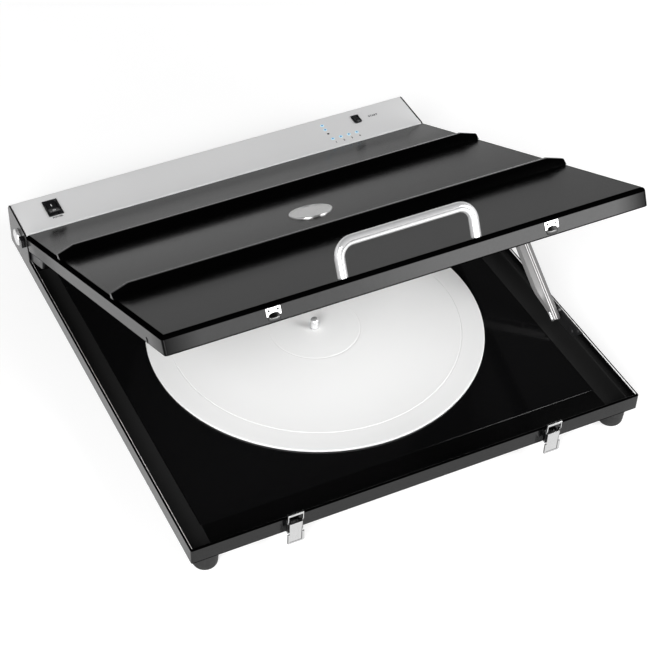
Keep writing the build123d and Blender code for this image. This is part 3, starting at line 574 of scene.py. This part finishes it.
cheek_outline = [(HOUSE_Y, Z_FLOOR), (HOUSE_Y, 42.6), (161.1, 44.2), (165.5, 57.1)]
cheek_outline += [(166.3, 58.5), (167.6, 59.1), (209.4, 60.75), (210.9, 60.4), (214.3, 56.3)]
cheek_outline += [(REAR, 55.0), (REAR, Z_FLOOR)]
cheeks = Form(BASE)
inner_x = HALF_W - SHEET
for x in (-HALF_W, inner_x):
    cheeks.prism(cheek_outline, x, x + SHEET, "x")
rear_wall = [(-inner_x, Z_FLOOR), (inner_x, Z_FLOOR), (inner_x, Z_SEAM), (-inner_x, Z_SEAM)]
cheeks.prism(rear_wall, REAR - SHEET, REAR, "y")
round_edges(cheeks.done("housing_cheeks", "base", "tray_paint"), 0.55, 3)

# ---------------------------------------------------------------- bed, disc, spindle and feet

dress("bed_plate", 0.35)
dress("bottom_pan", 0.5)

DISC_FOOT, DISC_TOP, DISC_R, BORE_R = 18.05, 20.0, 147.65, 3.72
SPINDLE_R, NECK_R = 3.575, 3.2
FOOT_X, FOOT_FRONT, FOOT_REAR = 185.0, FRONT + 12.0, REAR - 25.0


def groove(start, bevel, width, depth):
    """Profile points of a shallow ring groove in the disc's face, from a radius outward."""
    low, near, far = DISC_TOP - depth, start + 0.2 + bevel, start + 0.2 + bevel + width
    flat = [(start, DISC_TOP), (start + 0.2, DISC_TOP)]
    return flat + [(near, low), (far, low), (far + bevel, DISC_TOP), (far + bevel + 0.2, DISC_TOP)]


disc_profile = [(BORE_R, DISC_FOOT), (BORE_R, 19.85), (3.9, DISC_TOP), (4.2, DISC_TOP)]
disc_profile += groove(39.0, 0.3, 0.8, 0.13) + groove(127.1, 0.2, 0.6, 0.25)
disc_profile += [(146.6, DISC_TOP), (146.9, DISC_TOP), (147.3, 19.88), (147.6, 19.5)]
disc_profile += [(DISC_R, 19.0), (DISC_R, 18.3), (147.4, DISC_FOOT)]
disc = Form(BASE)
disc.turned(disc_profile, centre=(0, BED_Y), count=200, loop=True)
disc.done("disc_skin", "base", "disc_white", "white_disc", sharp=50)

spindle_profile = [(3.3, 18.1), (3.3, 20.0), (SPINDLE_R, 20.1), (SPINDLE_R, 25.4), (NECK_R, 25.8)]
spindle_profile += [(NECK_R, 26.5), (SPINDLE_R, 26.9), (SPINDLE_R, 28.0), (3.45, 28.6), (3.0, 29.25)]
spindle_profile += [(2.2, 29.75), (1.2, 30.0), (0.4, 30.05)]
spindle = Form(BASE)
spindle.turned(spindle_profile, centre=(0, BED_Y), count=48)
spindle.done("spindle_skin", "base", "chrome", "spindle", sharp=50)

foot_profile = [(3.2, 3.0), (3.6, 2.9), (3.7, 0.4), (4.1, 0.05), (7.4, 0.0), (8.6, 0.25), (9.6, 0.95)]
foot_profile += [(10.2, 2.1), (10.5, 3.6), (10.9, 9.0), (11.1, 13.5), (11.2, 16.2), (11.2, 16.5)]
foot_screw_profile = [(1.0, 2.4), (1.0, 1.5), (1.3, 1.2), (2.2, 1.35), (2.8, 2.0), (2.9, 2.9)]
feet = Form(BASE)
foot_screws = Form(BASE)
for x in (-FOOT_X, FOOT_X):
    for y in (FOOT_FRONT, FOOT_REAR):
        feet.turned(foot_profile, centre=(x, y), count=48)
        foot_screws.turned(foot_screw_profile, centre=(x, y), count=24)
feet.done("feet_skin", "base", "foot_rubber", "feet", sharp=45)
foot_screws.done("foot_screws", "base", "screw_steel")

# ---------------------------------------------------------------- housing and controls


def long_edge(edge):
    return edge.calc_length() > 0.1


def upright(edge):
    rise = edge.verts[0].co - edge.verts[1].co
    return abs(rise.z) > 0.9 * rise.length and rise.length > 0.0006


dress("housing_front", 0.5, 3)
dress("control_panel", 1.1, 4, heavy=long_edge)
for node in ("hinge_pins", "stop_left", "stop_right", "power_inlet"):
    dress(node, 0.35)
dress("switch_body", 0.8, 4, heavy=upright)
dress("button_bezel", 1.9, 5, heavy=upright)
dress("power_rocker", 0.25)
dress("start_button", 1.5, 5, heavy=upright)

# Three windows in a column, of which the last is dark, and four in a row
DARK_SPOT = 2
light_spots = [(110.2, 33.8), (110.2, 27.1), (110.3, 20.4)]
light_spots += [(111.0 + 8.45 * i, 12.2) for i in range(4)]
lens_profile = [(0.95, -2.0), (0.95, 0.22), (0.75, 0.32), (0.4, 0.34)]
halo_profile = [(0.95, 0.0), (1.9, 0.0), (1.9, 0.06), (1.7, 0.16), (0.95, 0.16)]
guide = Form(PANEL)
halos = Form(PANEL)
for i, spot in enumerate(light_spots):
    if i == DARK_SPOT:
        continue
    guide.turned(lens_profile, centre=spot, count=20)
    halos.turned(halo_profile, centre=spot, count=28, loop=True)
# Two bars under the panel join the windows
for x, y, w, d in ((110.0 + 13.2, 12.7, 30.0, 3.6), (110.0, 26.3, 3.6, 22.0)):
    guide.prism(round_rect(x, y, w, d, 0.4), -3.5, -1.5)
guide.done("light_lenses", "base", "light_clear", "light_guide")
halos.done("light_halos", "base", "light_clear", material=lit_blue)
dark_lamp = Form(PANEL)
dark_lamp.turned(
    [(1.05, -2.0), (1.05, 0.2), (0.8, 0.32), (0.3, 0.34)], centre=light_spots[DARK_SPOT], count=20
)
dark_lamp.done("dark_window", "base", "light_clear", material=mats["switch_black"])


def words(name, body, place, entries, slot, material):
    """Flat raised print: generic words and numbers, each (text, x, y, height, depth) in local mm."""
    form = Form(place)
    for text, x, y, height, depth in entries:
        curve = bpy.data.curves.new("print_line", "FONT")
        curve.body = text
        curve.size = height * CAP_TO_SIZE
        curve.align_x = "CENTER"
        curve.align_y = "CENTER"
        curve.extrude = depth
        curve.offset = 0.12
        curve.resolution_u = 3
        holder = bpy.data.objects.new("print_line", curve)
        scene.collection.objects.link(holder)
        mesh = bpy.data.meshes.new_from_object(holder)
        mesh.transform(place @ Matrix.Translation((x, y, 0.0)))
        form.bm.from_mesh(mesh)
        bpy.data.meshes.remove(mesh)
        bpy.data.objects.remove(holder)
        bpy.data.curves.remove(curve)
    bmesh.ops.remove_doubles(form.bm, verts=form.bm.verts, dist=0.001 * MM)
    return form.done(name, body, slot, material=material)


CAP_TO_SIZE = 1.45
NUMBER_PITCH = 8.3
labels = [("POWER", -165.2, 11.9, 1.9, 0.03), ("START", 162.1, 28.8, 2.3, 0.03)]
labels += [(str(i + 1), 112.0 + NUMBER_PITCH * i, 6.4, 2.3, 0.03) for i in range(4)]
words("panel_print", "base", PANEL, labels, "switch_black", print_dark)

# The rocker's two faces rise from its middle to its ends
ROCKER = axes((-165.5, 191.043, 58.452), PANEL_SLOPE - radians(8.0))
FACE_MID, FACE_RISE, FACE_LEN, MARK_Y = 1.0, 1.6, 8.0, 4.2
face_turn = atan2(FACE_RISE, FACE_LEN)
face_height = FACE_MID + MARK_Y * FACE_RISE / FACE_LEN
for text, y, turn in (("I", MARK_Y, face_turn), ("O", -MARK_Y, -face_turn)):
    spot = ROCKER @ Matrix.Translation((0, y, face_height)) @ Matrix.Rotation(turn, 4, "X")
    words("rocker_mark_" + text, "rocker", spot, [(text, 0, 0, 2.6, 0.05)], "switch_black", print_white)

# ---------------------------------------------------------------- lid

LID_MID = (LID_REAR + LID_FRONT) / 2
LID_LEN = LID_REAR - LID_FRONT
LID_CORNER, CORNER_PAD = 2.6, 26.0
LID_BOW, LID_BEND, LIP_T, LIP_H = 3.0, 1.5, 2.0, 4.5
# Painted shade on the lid's left wall
LEFT_WALL_SHADE = 0.42
# Painted shade from a side wall round a front corner to the front wall
FRONT_CORNER_SHADES = (0.42, 0.55, 0.6, 0.65, 0.75, 0.8, 0.8, 0.22)


def lid_ring(form, inset, height, light_and_shade=0.0, shaded_walls=False):
    """One level of the lid's outline; when asked, its side and front walls get painted shade, each its
    own depth.
    """
    w, d, r = 2 * (HALF_W - inset), LID_LEN - 2 * inset, max(LID_CORNER - inset, 0.4)
    outline = round_rect(0, LID_MID, w, d, r, pads=(CORNER_PAD,))
    if shaded_walls:
        light_and_shade = [0.0] * len(outline)
        each = len(outline) // 4
        light_and_shade[each + 1 : 2 * each] = [LEFT_WALL_SHADE] * (each - 1)
        for step, share in enumerate(FRONT_CORNER_SHADES):
            light_and_shade[2 * each + step] = share
            light_and_shade[4 * each - 1 - step] = share
    return form.level(outline, height, light_and_shade=light_and_shade)


lid = Form(LID)
# The top just inside its edge, the bow round the edge and the lip's bend get painted shade
rings = [lid_ring(lid, LID_BOW + 0.8, LID_TOP), lid_ring(lid, LID_BOW + 0.4, LID_TOP, light_and_shade=0.3)]
for inset, up in arc(LID_BOW, -LID_BOW, LID_BOW, 90, 180, n=8):
    rings.append(lid_ring(lid, inset, LID_TOP + up, light_and_shade=PAINTED_SHADE))
rings.append(lid_ring(lid, 0.0, LID_TOP - LID_BOW - 0.3, shaded_walls=True))
rings.append(lid_ring(lid, 0.0, LID_FOOT + LIP_T / 2 + 0.3, shaded_walls=True))
for inset, up in arc(LIP_T / 2, 0, LIP_T / 2, 180, 360, n=8):
    rings.append(lid_ring(lid, inset, LID_FOOT + LIP_T / 2 + up, light_and_shade=PAINTED_SHADE))
for inset, up in ((LIP_T, LIP_H), (LIP_T - 0.3, LIP_H + 0.3), (SHEET, LIP_H + 0.3)):
    rings.append(lid_ring(lid, inset, LID_FOOT + up))
for inset, up in arc(SHEET + LID_BEND, -LID_BEND, LID_BEND, 180, 90, n=4):
    rings.append(lid_ring(lid, inset, LID_TOP - SHEET + up))
lid.skin(rings)
rivet_spot = (LID_FRONT + 39.0, LID_FOOT + 2.8)
for way in (-1, 1):
    dome = [(2.4, -0.2), (2.4, 0.12), (2.2, 0.38), (1.6, 0.55), (0.6, 0.6)]
    dome = [(r, way * (HALF_W + h)) for r, h in dome]
    lid.turned(dome, centre=rivet_spot, along="x", count=28)
lid.done("lid_skin", "lid", "lid_paint", "lid_shell")

RIB_H, RIB_EDGE, RIB_TIP, RIB_CUT = 9.0, 0.6, 15.0, 4.5
RIB_HALF = HALF_W - 1.0
# Along a rib: (x, how far its top is cut down there)
rib_ends = [(-RIB_HALF, RIB_CUT), (-RIB_HALF + RIB_TIP, 0.0)]
rib_ends += [(RIB_HALF - RIB_TIP, 0.0), (RIB_HALF, RIB_CUT)]
for name, place in (("rib_rear", 102.9), ("rib_front", 251.2)):
    v = LID_REAR - place
    low, high = LID_TOP, LID_TOP + RIB_H
    section = [(v, low), (v, high - RIB_EDGE)]
    section += arc(v - RIB_EDGE, high - RIB_EDGE, RIB_EDGE, 0, 90, n=3)[1:]
    section += arc(v - 3.6, high - 0.8, 0.8, 90, 150, n=4) + [(v - 7.9, low)]
    rib = Form(LID)
    rings = []
    for x, drop in rib_ends:
        spots = [(x, a, low + (b - low) * (RIB_H - drop) / RIB_H) for a, b in section]
        # The rib's front slope is painted dark, a painted shade
        rings.append(rib.ring(spots, [0.0] * (len(spots) - 2) + [0.9, 0.9]))
    rib.skin(rings)
    round_edges(rib.done(name + "_skin", "lid", "lid_paint", name), 0.3, 2, angle=40)

badge_profile = [(18.4, 6.0), (18.4, 7.0), (18.2, 7.35), (17.8, 7.5), (16.9, 7.5), (16.6, 7.42)]
badge_profile += [(16.4, 7.05), (16.1, 7.0), (12.0, 7.12), (7.0, 7.22), (2.0, 7.26)]
badge = Form(LID)
badge.turned(badge_profile, centre=(0, LID_REAR - 182.0), count=96)
badge.done("badge_skin", "lid", "badge_silver", "badge", sharp=40)

HANDLE_V, HANDLE_X, HANDLE_W, HANDLE_BEND, HANDLE_R = -391.2, 55.5, 31.95, 12.0, 4.0
foot_w, bend_x, bend_w = LID_TOP + 4.0, HANDLE_X - HANDLE_BEND, HANDLE_W - HANDLE_BEND
path = [(-HANDLE_X, LID_TOP), (-HANDLE_X, foot_w)]
path += arc(-bend_x, bend_w, HANDLE_BEND, 180, 90, n=14)
path += [(-HANDLE_X / 3, HANDLE_W), (HANDLE_X / 3, HANDLE_W)]
path += arc(bend_x, bend_w, HANDLE_BEND, 90, 0, n=14)
path += [(HANDLE_X, foot_w), (HANDLE_X, LID_TOP)]
handle = Form(LID)
# A painted dark reflection runs along the handle's front
handle.rod([(x, HANDLE_V, w) for x, w in path], HANDLE_R, count=48, line=Vector((0.0, -1.0, 0.0)))
handle.done("handle_skin", "lid", "chrome", "handle")
screw_profile = [(4.5, 4.45), (4.5, 4.0), (3.6, 3.9), (3.6, 2.6)]
screw_profile += [(3.2, 1.9), (2.4, 1.5), (1.1, 1.4), (1.0, 2.2)]
handle_screws = Form(LID)
for x in (-HANDLE_X, HANDLE_X):
    handle_screws.turned(screw_profile, centre=(x, HANDLE_V), count=28)
handle_screws.done("handle_screws", "lid", "screw_steel")

dress("press_plate", 0.4)
for node in ("hinge_arm_left", "hinge_arm_right", "stay_lid_bracket"):
    dress(node, 0.3)

# ---------------------------------------------------------------- catches on the lid

CATCH_TOP, CATCH_W, CATCH_H, CATCH_T = LID_TOP - 3.2, 11.6, 6.3, 0.8
HOOK_HALF, HOOK_OUT, HOOK_STEPS = 4.6, 1.1, 16
catch_skin = LID_FRONT - 0.85
for name, x in (("catch_left", -LATCH_X), ("catch_right", LATCH_X)):
    catch = Form(LID)
    plate = round_rect(x, CATCH_TOP - CATCH_H / 2, CATCH_W, CATCH_H, 0.3)
    catch.prism(plate, LID_FRONT - CATCH_T, LID_FRONT, "y")
    # The hook: a scooped shelf that rises out of the plate, with a narrow lip below
    shelf = []
    for i in range(HOOK_STEPS + 1):
        share = 2.0 * i / HOOK_STEPS - 1.0
        reach = sqrt(max(0.0, 1.0 - share * share))
        a, out = x + share * HOOK_HALF, catch_skin - HOOK_OUT * reach
        crown = CATCH_TOP - 6.4 + 2.5 * reach
        lip = CATCH_TOP - 7.1 - 1.1 * reach
        points = [(LID_FRONT, crown), (catch_skin, crown), (out, lip + 0.7), (out, lip)]
        points += [(LID_FRONT - 0.3, lip - 2.6), (LID_FRONT, lip - 2.6)]
        # The hook is painted dark all over, a painted shade, a little less at its lip's edge
        shelf.append(catch.ring([(a, v, w) for v, w in points], [1.0, 1.0, 1.0, 0.72, 0.98, 0.98]))
    catch.skin(shelf)
    catch.done(name + "_skin", "lid", "chrome", name, material=latch_steel, sharp=16)
    head = [(0.95, LID_FRONT - 0.78), (0.9, LID_FRONT - 1.0), (0.5, LID_FRONT - 1.08)]
    rivets = Form(LID)
    for side in (-3.6, 3.6):
        rivets.turned(head, centre=(x + side, CATCH_TOP - 2.2), along="y", count=20)
    rivets.done(name + "_rivets", "lid", "screw_steel", material=mats["switch_black"])

# ---------------------------------------------------------------- latches

LEVER_LOW, LEVER_FACE, TAB_TOP = 8.9, FRONT - 6.6, 19.4
PIN_Y, PIN_Z, LOOP_HALF = FRONT - 3.9, 21.0, 6.7
NEAR_X, NEAR_Z = 0.7, 0.6  # how far the painted shade of a pressed line fades to each side
HIT = 0.1  # points this near to a line lie on it


def shade_verts(obj, cuts, share):
    """Cuts the mesh on planes, each (axis, mm), and gives the points their marks for painted shade or
    light in the paint.
    """
    bm = bmesh.new()
    bm.from_mesh(obj.data)
    for axis, spot in cuts:
        normal = [0.0, 0.0, 0.0]
        normal[axis] = 1.0
        parts = bm.verts[:] + bm.edges[:] + bm.faces[:]
        at = tuple(spot * MM * n for n in normal)
        bmesh.ops.bisect_plane(bm, geom=parts, dist=0.002 * MM, plane_co=at, plane_no=normal)
    light_and_shade = bm.verts.layers.float.new("light_and_shade")
    for vert in bm.verts:
        vert[light_and_shade] = share(*(c / MM for c in vert.co))
    bm.to_mesh(obj.data)
    bm.free()


bases = dress("latch_bases", 0.2)
bases.data.materials[0] = latch_steel
# The latch bases are painted dark all over, a painted shade
shade_verts(bases, [], lambda a, b, c: PAINTED_SHADE)
for side, x in (("left", -LATCH_X), ("right", LATCH_X)):
    lever = dress("lever_" + side, 0.3, 3)
    lever.data.materials[0] = latch_steel
    # Painted shade on the lever below its tab's top: dark pressed lines up its right side and along its
    # foot, and a darker left edge
    line_x, line_z, edge_x, line_end = x + 4.9, LEVER_LOW + 1.9, x - 6.9, x - 4.6
    cuts = [(0, line_x + step) for step in (-NEAR_X, 0.0, NEAR_X)]
    cuts += [(2, line_z + step) for step in (-NEAR_Z, 0.0, NEAR_Z)]
    cuts += [(0, edge_x), (0, edge_x + 0.5), (0, line_end), (2, TAB_TOP - 1.5)]

    def pressed_line_shade(a, b, c):
        if b > LEVER_FACE + 0.5 or c > TAB_TOP - 1.0:
            return 0.0
        on_upright = abs(a - line_x) < HIT and c > line_z - HIT
        on_level = abs(c - line_z) < HIT and line_end - HIT < a < line_x + HIT
        if on_upright or on_level:
            return PAINTED_SHADE
        return 0.85 if a < edge_x + HIT else 0.0

    shade_verts(lever, cuts, pressed_line_shade)
    loop = dress("loop_" + side, 0.35, 3)
    loop.data.materials[0] = latch_steel
    # The loop is painted dark from its foot up to a little below the tray's rim, a painted shade
    loop_cuts = [(2, Z_RIM), (2, Z_RIM - 2.5)]
    shade_verts(loop, loop_cuts, lambda a, b, c: PAINTED_SHADE if c < Z_RIM - 2.0 else 0.0)
    heads = Form(BASE)
    for way in (-1, 1):
        dome = [(1.0, 0.02), (1.0, 0.2), (0.8, 0.38), (0.35, 0.48)]
        dome = [(r, x + way * (LOOP_HALF + h)) for r, h in dome]
        heads.turned(dome, centre=(PIN_Y, PIN_Z), along="x", count=20)
    heads.done("loop_pin_heads_" + side, body_of["loop_" + side], "chrome")

# ---------------------------------------------------------------- stay

STAY_X, STAY_W, STAY_T = 183.0, 12.0, 1.2
PIVOT_Y, PIVOT_Z = 20.65, 108.73
PIN_END_Y, PIN_END_Z = -91.6, 31.5
STAY = axes((0, PIVOT_Y, PIVOT_Z), atan2(PIVOT_Z - PIN_END_Z, PIVOT_Y - PIN_END_Y))
ARM_LOW, ARM_HIGH = -144.2, 7.0
arm = Form(STAY)
# The roof of the folded section with its two ridges; each point's mark gives the ridge tops painted
# highlights, and the right slope and, a little, the groove painted shade
roof = [(0.0, 1.2), (0.35, 1.75), (4.3, 3.75), (4.6, 4.35), (5.1, 4.5), (5.6, 4.35), (5.9, 3.8)]
roof += [(6.3, 3.8), (6.6, 4.35), (7.1, 4.5), (7.6, 4.35), (7.9, 3.75), (11.65, 1.75), (STAY_W, 1.2)]
stay_light_and_shade = [0.0, 0.0, 0.0, 0.0, PAINTED_LIGHT, 0.0, 0.1, 0.1, 0.0, PAINTED_LIGHT, 0.1, 0.3, 0.35, 0.35] + [0.0] * 4
under = [(10.8, 0.9), (7.4, 2.6), (4.8, 2.6), (1.2, 0.9)]
# The left side is cut back towards the pin end: (distance from that end, cut)
taper = ((0.0, 4.6), (6.0, 4.4), (14.0, 3.2), (22.0, 1.6), (28.0, 0.5), (34.0, 0.0))
steps = taper + ((ARM_HIGH - ARM_LOW, 0.0),)
rings = []
for along, cut in steps:
    section = [(STAY_X + max(a, cut if b < 4.2 else a), b) for a, b in roof + under]
    rings.append(arm.level(section, ARM_LOW + along, "y", stay_light_and_shade))
arm.skin(rings)
slot = round_rect(-136.25 + 25.0, -1.2, 55.2, 3.4, 1.69, n=8)
outer = round_rect((ARM_LOW + ARM_HIGH) / 2, -1.6, ARM_HIGH - ARM_LOW, 5.8, 0.6, n=8)
arm.washer(outer, slot, STAY_X + STAY_W - STAY_T, STAY_X + STAY_W, "x")
rings = []
for along, cut in steps:
    left, foot = STAY_X + cut, -4.5 + 0.62 * cut
    flange = [(left, 1.25), (left + STAY_T, 1.25), (left + STAY_T, foot), (left, foot)]
    # The left flange is painted a little lighter, a painted light
    rings.append(arm.level(flange, ARM_LOW + along, "y", -0.12))
arm.skin(rings)
arm.done("stay_skin", "stay", "stay_silver", "stay_arm", sharp=30)

clip = Form(STAY)
clip_x = STAY_X + 4.1
clip.rod([(clip_x, ARM_LOW + a, 1.9) for a in (1.0, 1.3, 7.6, 7.9)], 1.5, count=24)
clip.done("stay_clip", "stay", "chrome")

dress("stay_bracket", 0.25)

# ---------------------------------------------------------------- stage, lights and camera

FLOOR_HALF = 6.0
PALE_TO, GREY_FROM = 0.665, 0.75  # metres from the part's middle
corners = [(-FLOOR_HALF, -FLOOR_HALF, 0), (FLOOR_HALF, -FLOOR_HALF, 0)]
corners += [(FLOOR_HALF, FLOOR_HALF, 0), (-FLOOR_HALF, FLOOR_HALF, 0)]
floor_mesh = bpy.data.meshes.new("floor")
floor_mesh.from_pydata(corners, [], [(0, 1, 2, 3)])
floor = bpy.data.objects.new("floor", floor_mesh)
scene.collection.objects.link(floor)
# Pale near the part and greyer far behind it; its own light for the eye keeps the background white
paint = Paint("floor_white", (0.9, 0.9, 0.9), 0.8, spec=0.0)
distance = paint.add("ShaderNodeVectorMath", operation="LENGTH")
paint.join(paint.place, distance, 0)
for socket, near, far in (("Base Color", 0.5, 0.2), ("Emission Color", 1.0, 0.4)):
    reach = paint.span(distance.outputs["Value"], PALE_TO, GREY_FROM, near, far, smooth=True)
    shade = paint.add("ShaderNodeCombineColor")
    for channel in range(3):
        paint.join(reach, shade, channel)
    paint.join(shade.outputs[0], paint.shader, socket)
ray = paint.add("ShaderNodeLightPath")
seen = ray.outputs["Is Camera Ray"]
for kind in ("Is Glossy Ray", "Is Transmission Ray"):
    either = paint.add("ShaderNodeMath", operation="ADD")
    paint.join(seen, either, 0)
    paint.join(ray.outputs[kind], either, 1)
    seen = either.outputs[0]
paint.join(paint.span(seen, 0.0, 1.0, 0.0, 0.6), paint.shader, "Emission Strength")
floor_mesh.materials.append(paint.mat)
floor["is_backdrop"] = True

# The sky's grey level from straight below (0) to straight above (1)
SKY = ((0.0, 0.8), (0.25, 0.8), (0.45, 0.5), (0.6, 0.06), (0.8, 0.02), (1.0, 0.02))
world = bpy.data.worlds.new("studio")
scene.world = world
world.use_nodes = True
tree = world.node_tree
back = tree.nodes["Background"]
coord = tree.nodes.new("ShaderNodeTexCoord")
split = tree.nodes.new("ShaderNodeSeparateXYZ")
tree.links.new(coord.outputs["Generated"], split.inputs[0])
sky = tree.nodes.new("ShaderNodeValToRGB")
while len(sky.color_ramp.elements) < len(SKY):
    sky.color_ramp.elements.new(0.5)
for stop, (height, level) in zip(sky.color_ramp.elements, SKY):
    stop.position = height
    stop.color = (level, level, level, 1.0)
tree.links.new(split.outputs["Z"], sky.inputs[0])
tree.links.new(sky.outputs[0], back.inputs["Color"])
back.inputs["Strength"].default_value = 1.0


def softbox(name, place, aim, size, power):
    """A white rectangular light; places in metres, size (width, height), power in watts."""
    light = bpy.data.lights.new(name, "AREA")
    light.shape = "RECTANGLE"
    light.size, light.size_y = size
    light.energy = power
    obj = bpy.data.objects.new(name, light)
    scene.collection.objects.link(obj)
    obj.location = place
    obj.rotation_euler = (Vector(aim) - Vector(place)).to_track_quat("-Z", "Y").to_euler()


softbox("key", (-2.0, -1.87, 2.0), (0, 0, 0.05), (1.6, 1.6), 92)
softbox("fill", (2.13, -1.73, 1.73), (0, 0, 0.05), (1.33, 1.33), 58)
softbox("low", (-1.3, -2.2, 0.5), (0, 0, 0.05), (1.5, 0.8), 36)
softbox("front_wide", (0.85, -2.25, 0.42), (0, -0.2, 0.1), (2.0, 0.8), 24)
softbox("front_right", (1.2, -2.1, 0.42), (0.1, -0.2, 0.1), (0.8, 0.7), 8)

# The photograph's camera, solved from the outlines of the tray, lid, panel and disc
PHOTO = 657.0
FOCAL_PX = 1754.43
CENTRE_PX = (238.83, 348.61)
CAMERA_MM = (-510.32, -1011.69, 1061.18)
SENSOR = 36.0
RIGHT = Vector((0.912354, -0.409299, -0.009189))
DOWN = Vector((-0.288224, -0.626208, -0.724424))
AHEAD = Vector((0.290752, 0.663579, -0.689294))
lens = bpy.data.cameras.new("camera")
camera = bpy.data.objects.new("camera", lens)
scene.collection.objects.link(camera)
lens.sensor_width = SENSOR
lens.lens = FOCAL_PX * SENSOR / PHOTO
lens.shift_x = (PHOTO / 2 - CENTRE_PX[0]) / PHOTO
lens.shift_y = (CENTRE_PX[1] - PHOTO / 2) / PHOTO
lens.clip_end = 50.0
turn = Matrix((RIGHT, -DOWN, -AHEAD)).transposed().to_4x4()
camera.matrix_world = Matrix.Translation(Vector(CAMERA_MM) * MM) @ turn
scene.camera = camera
scene.view_settings.view_transform = "Standard"

low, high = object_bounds()
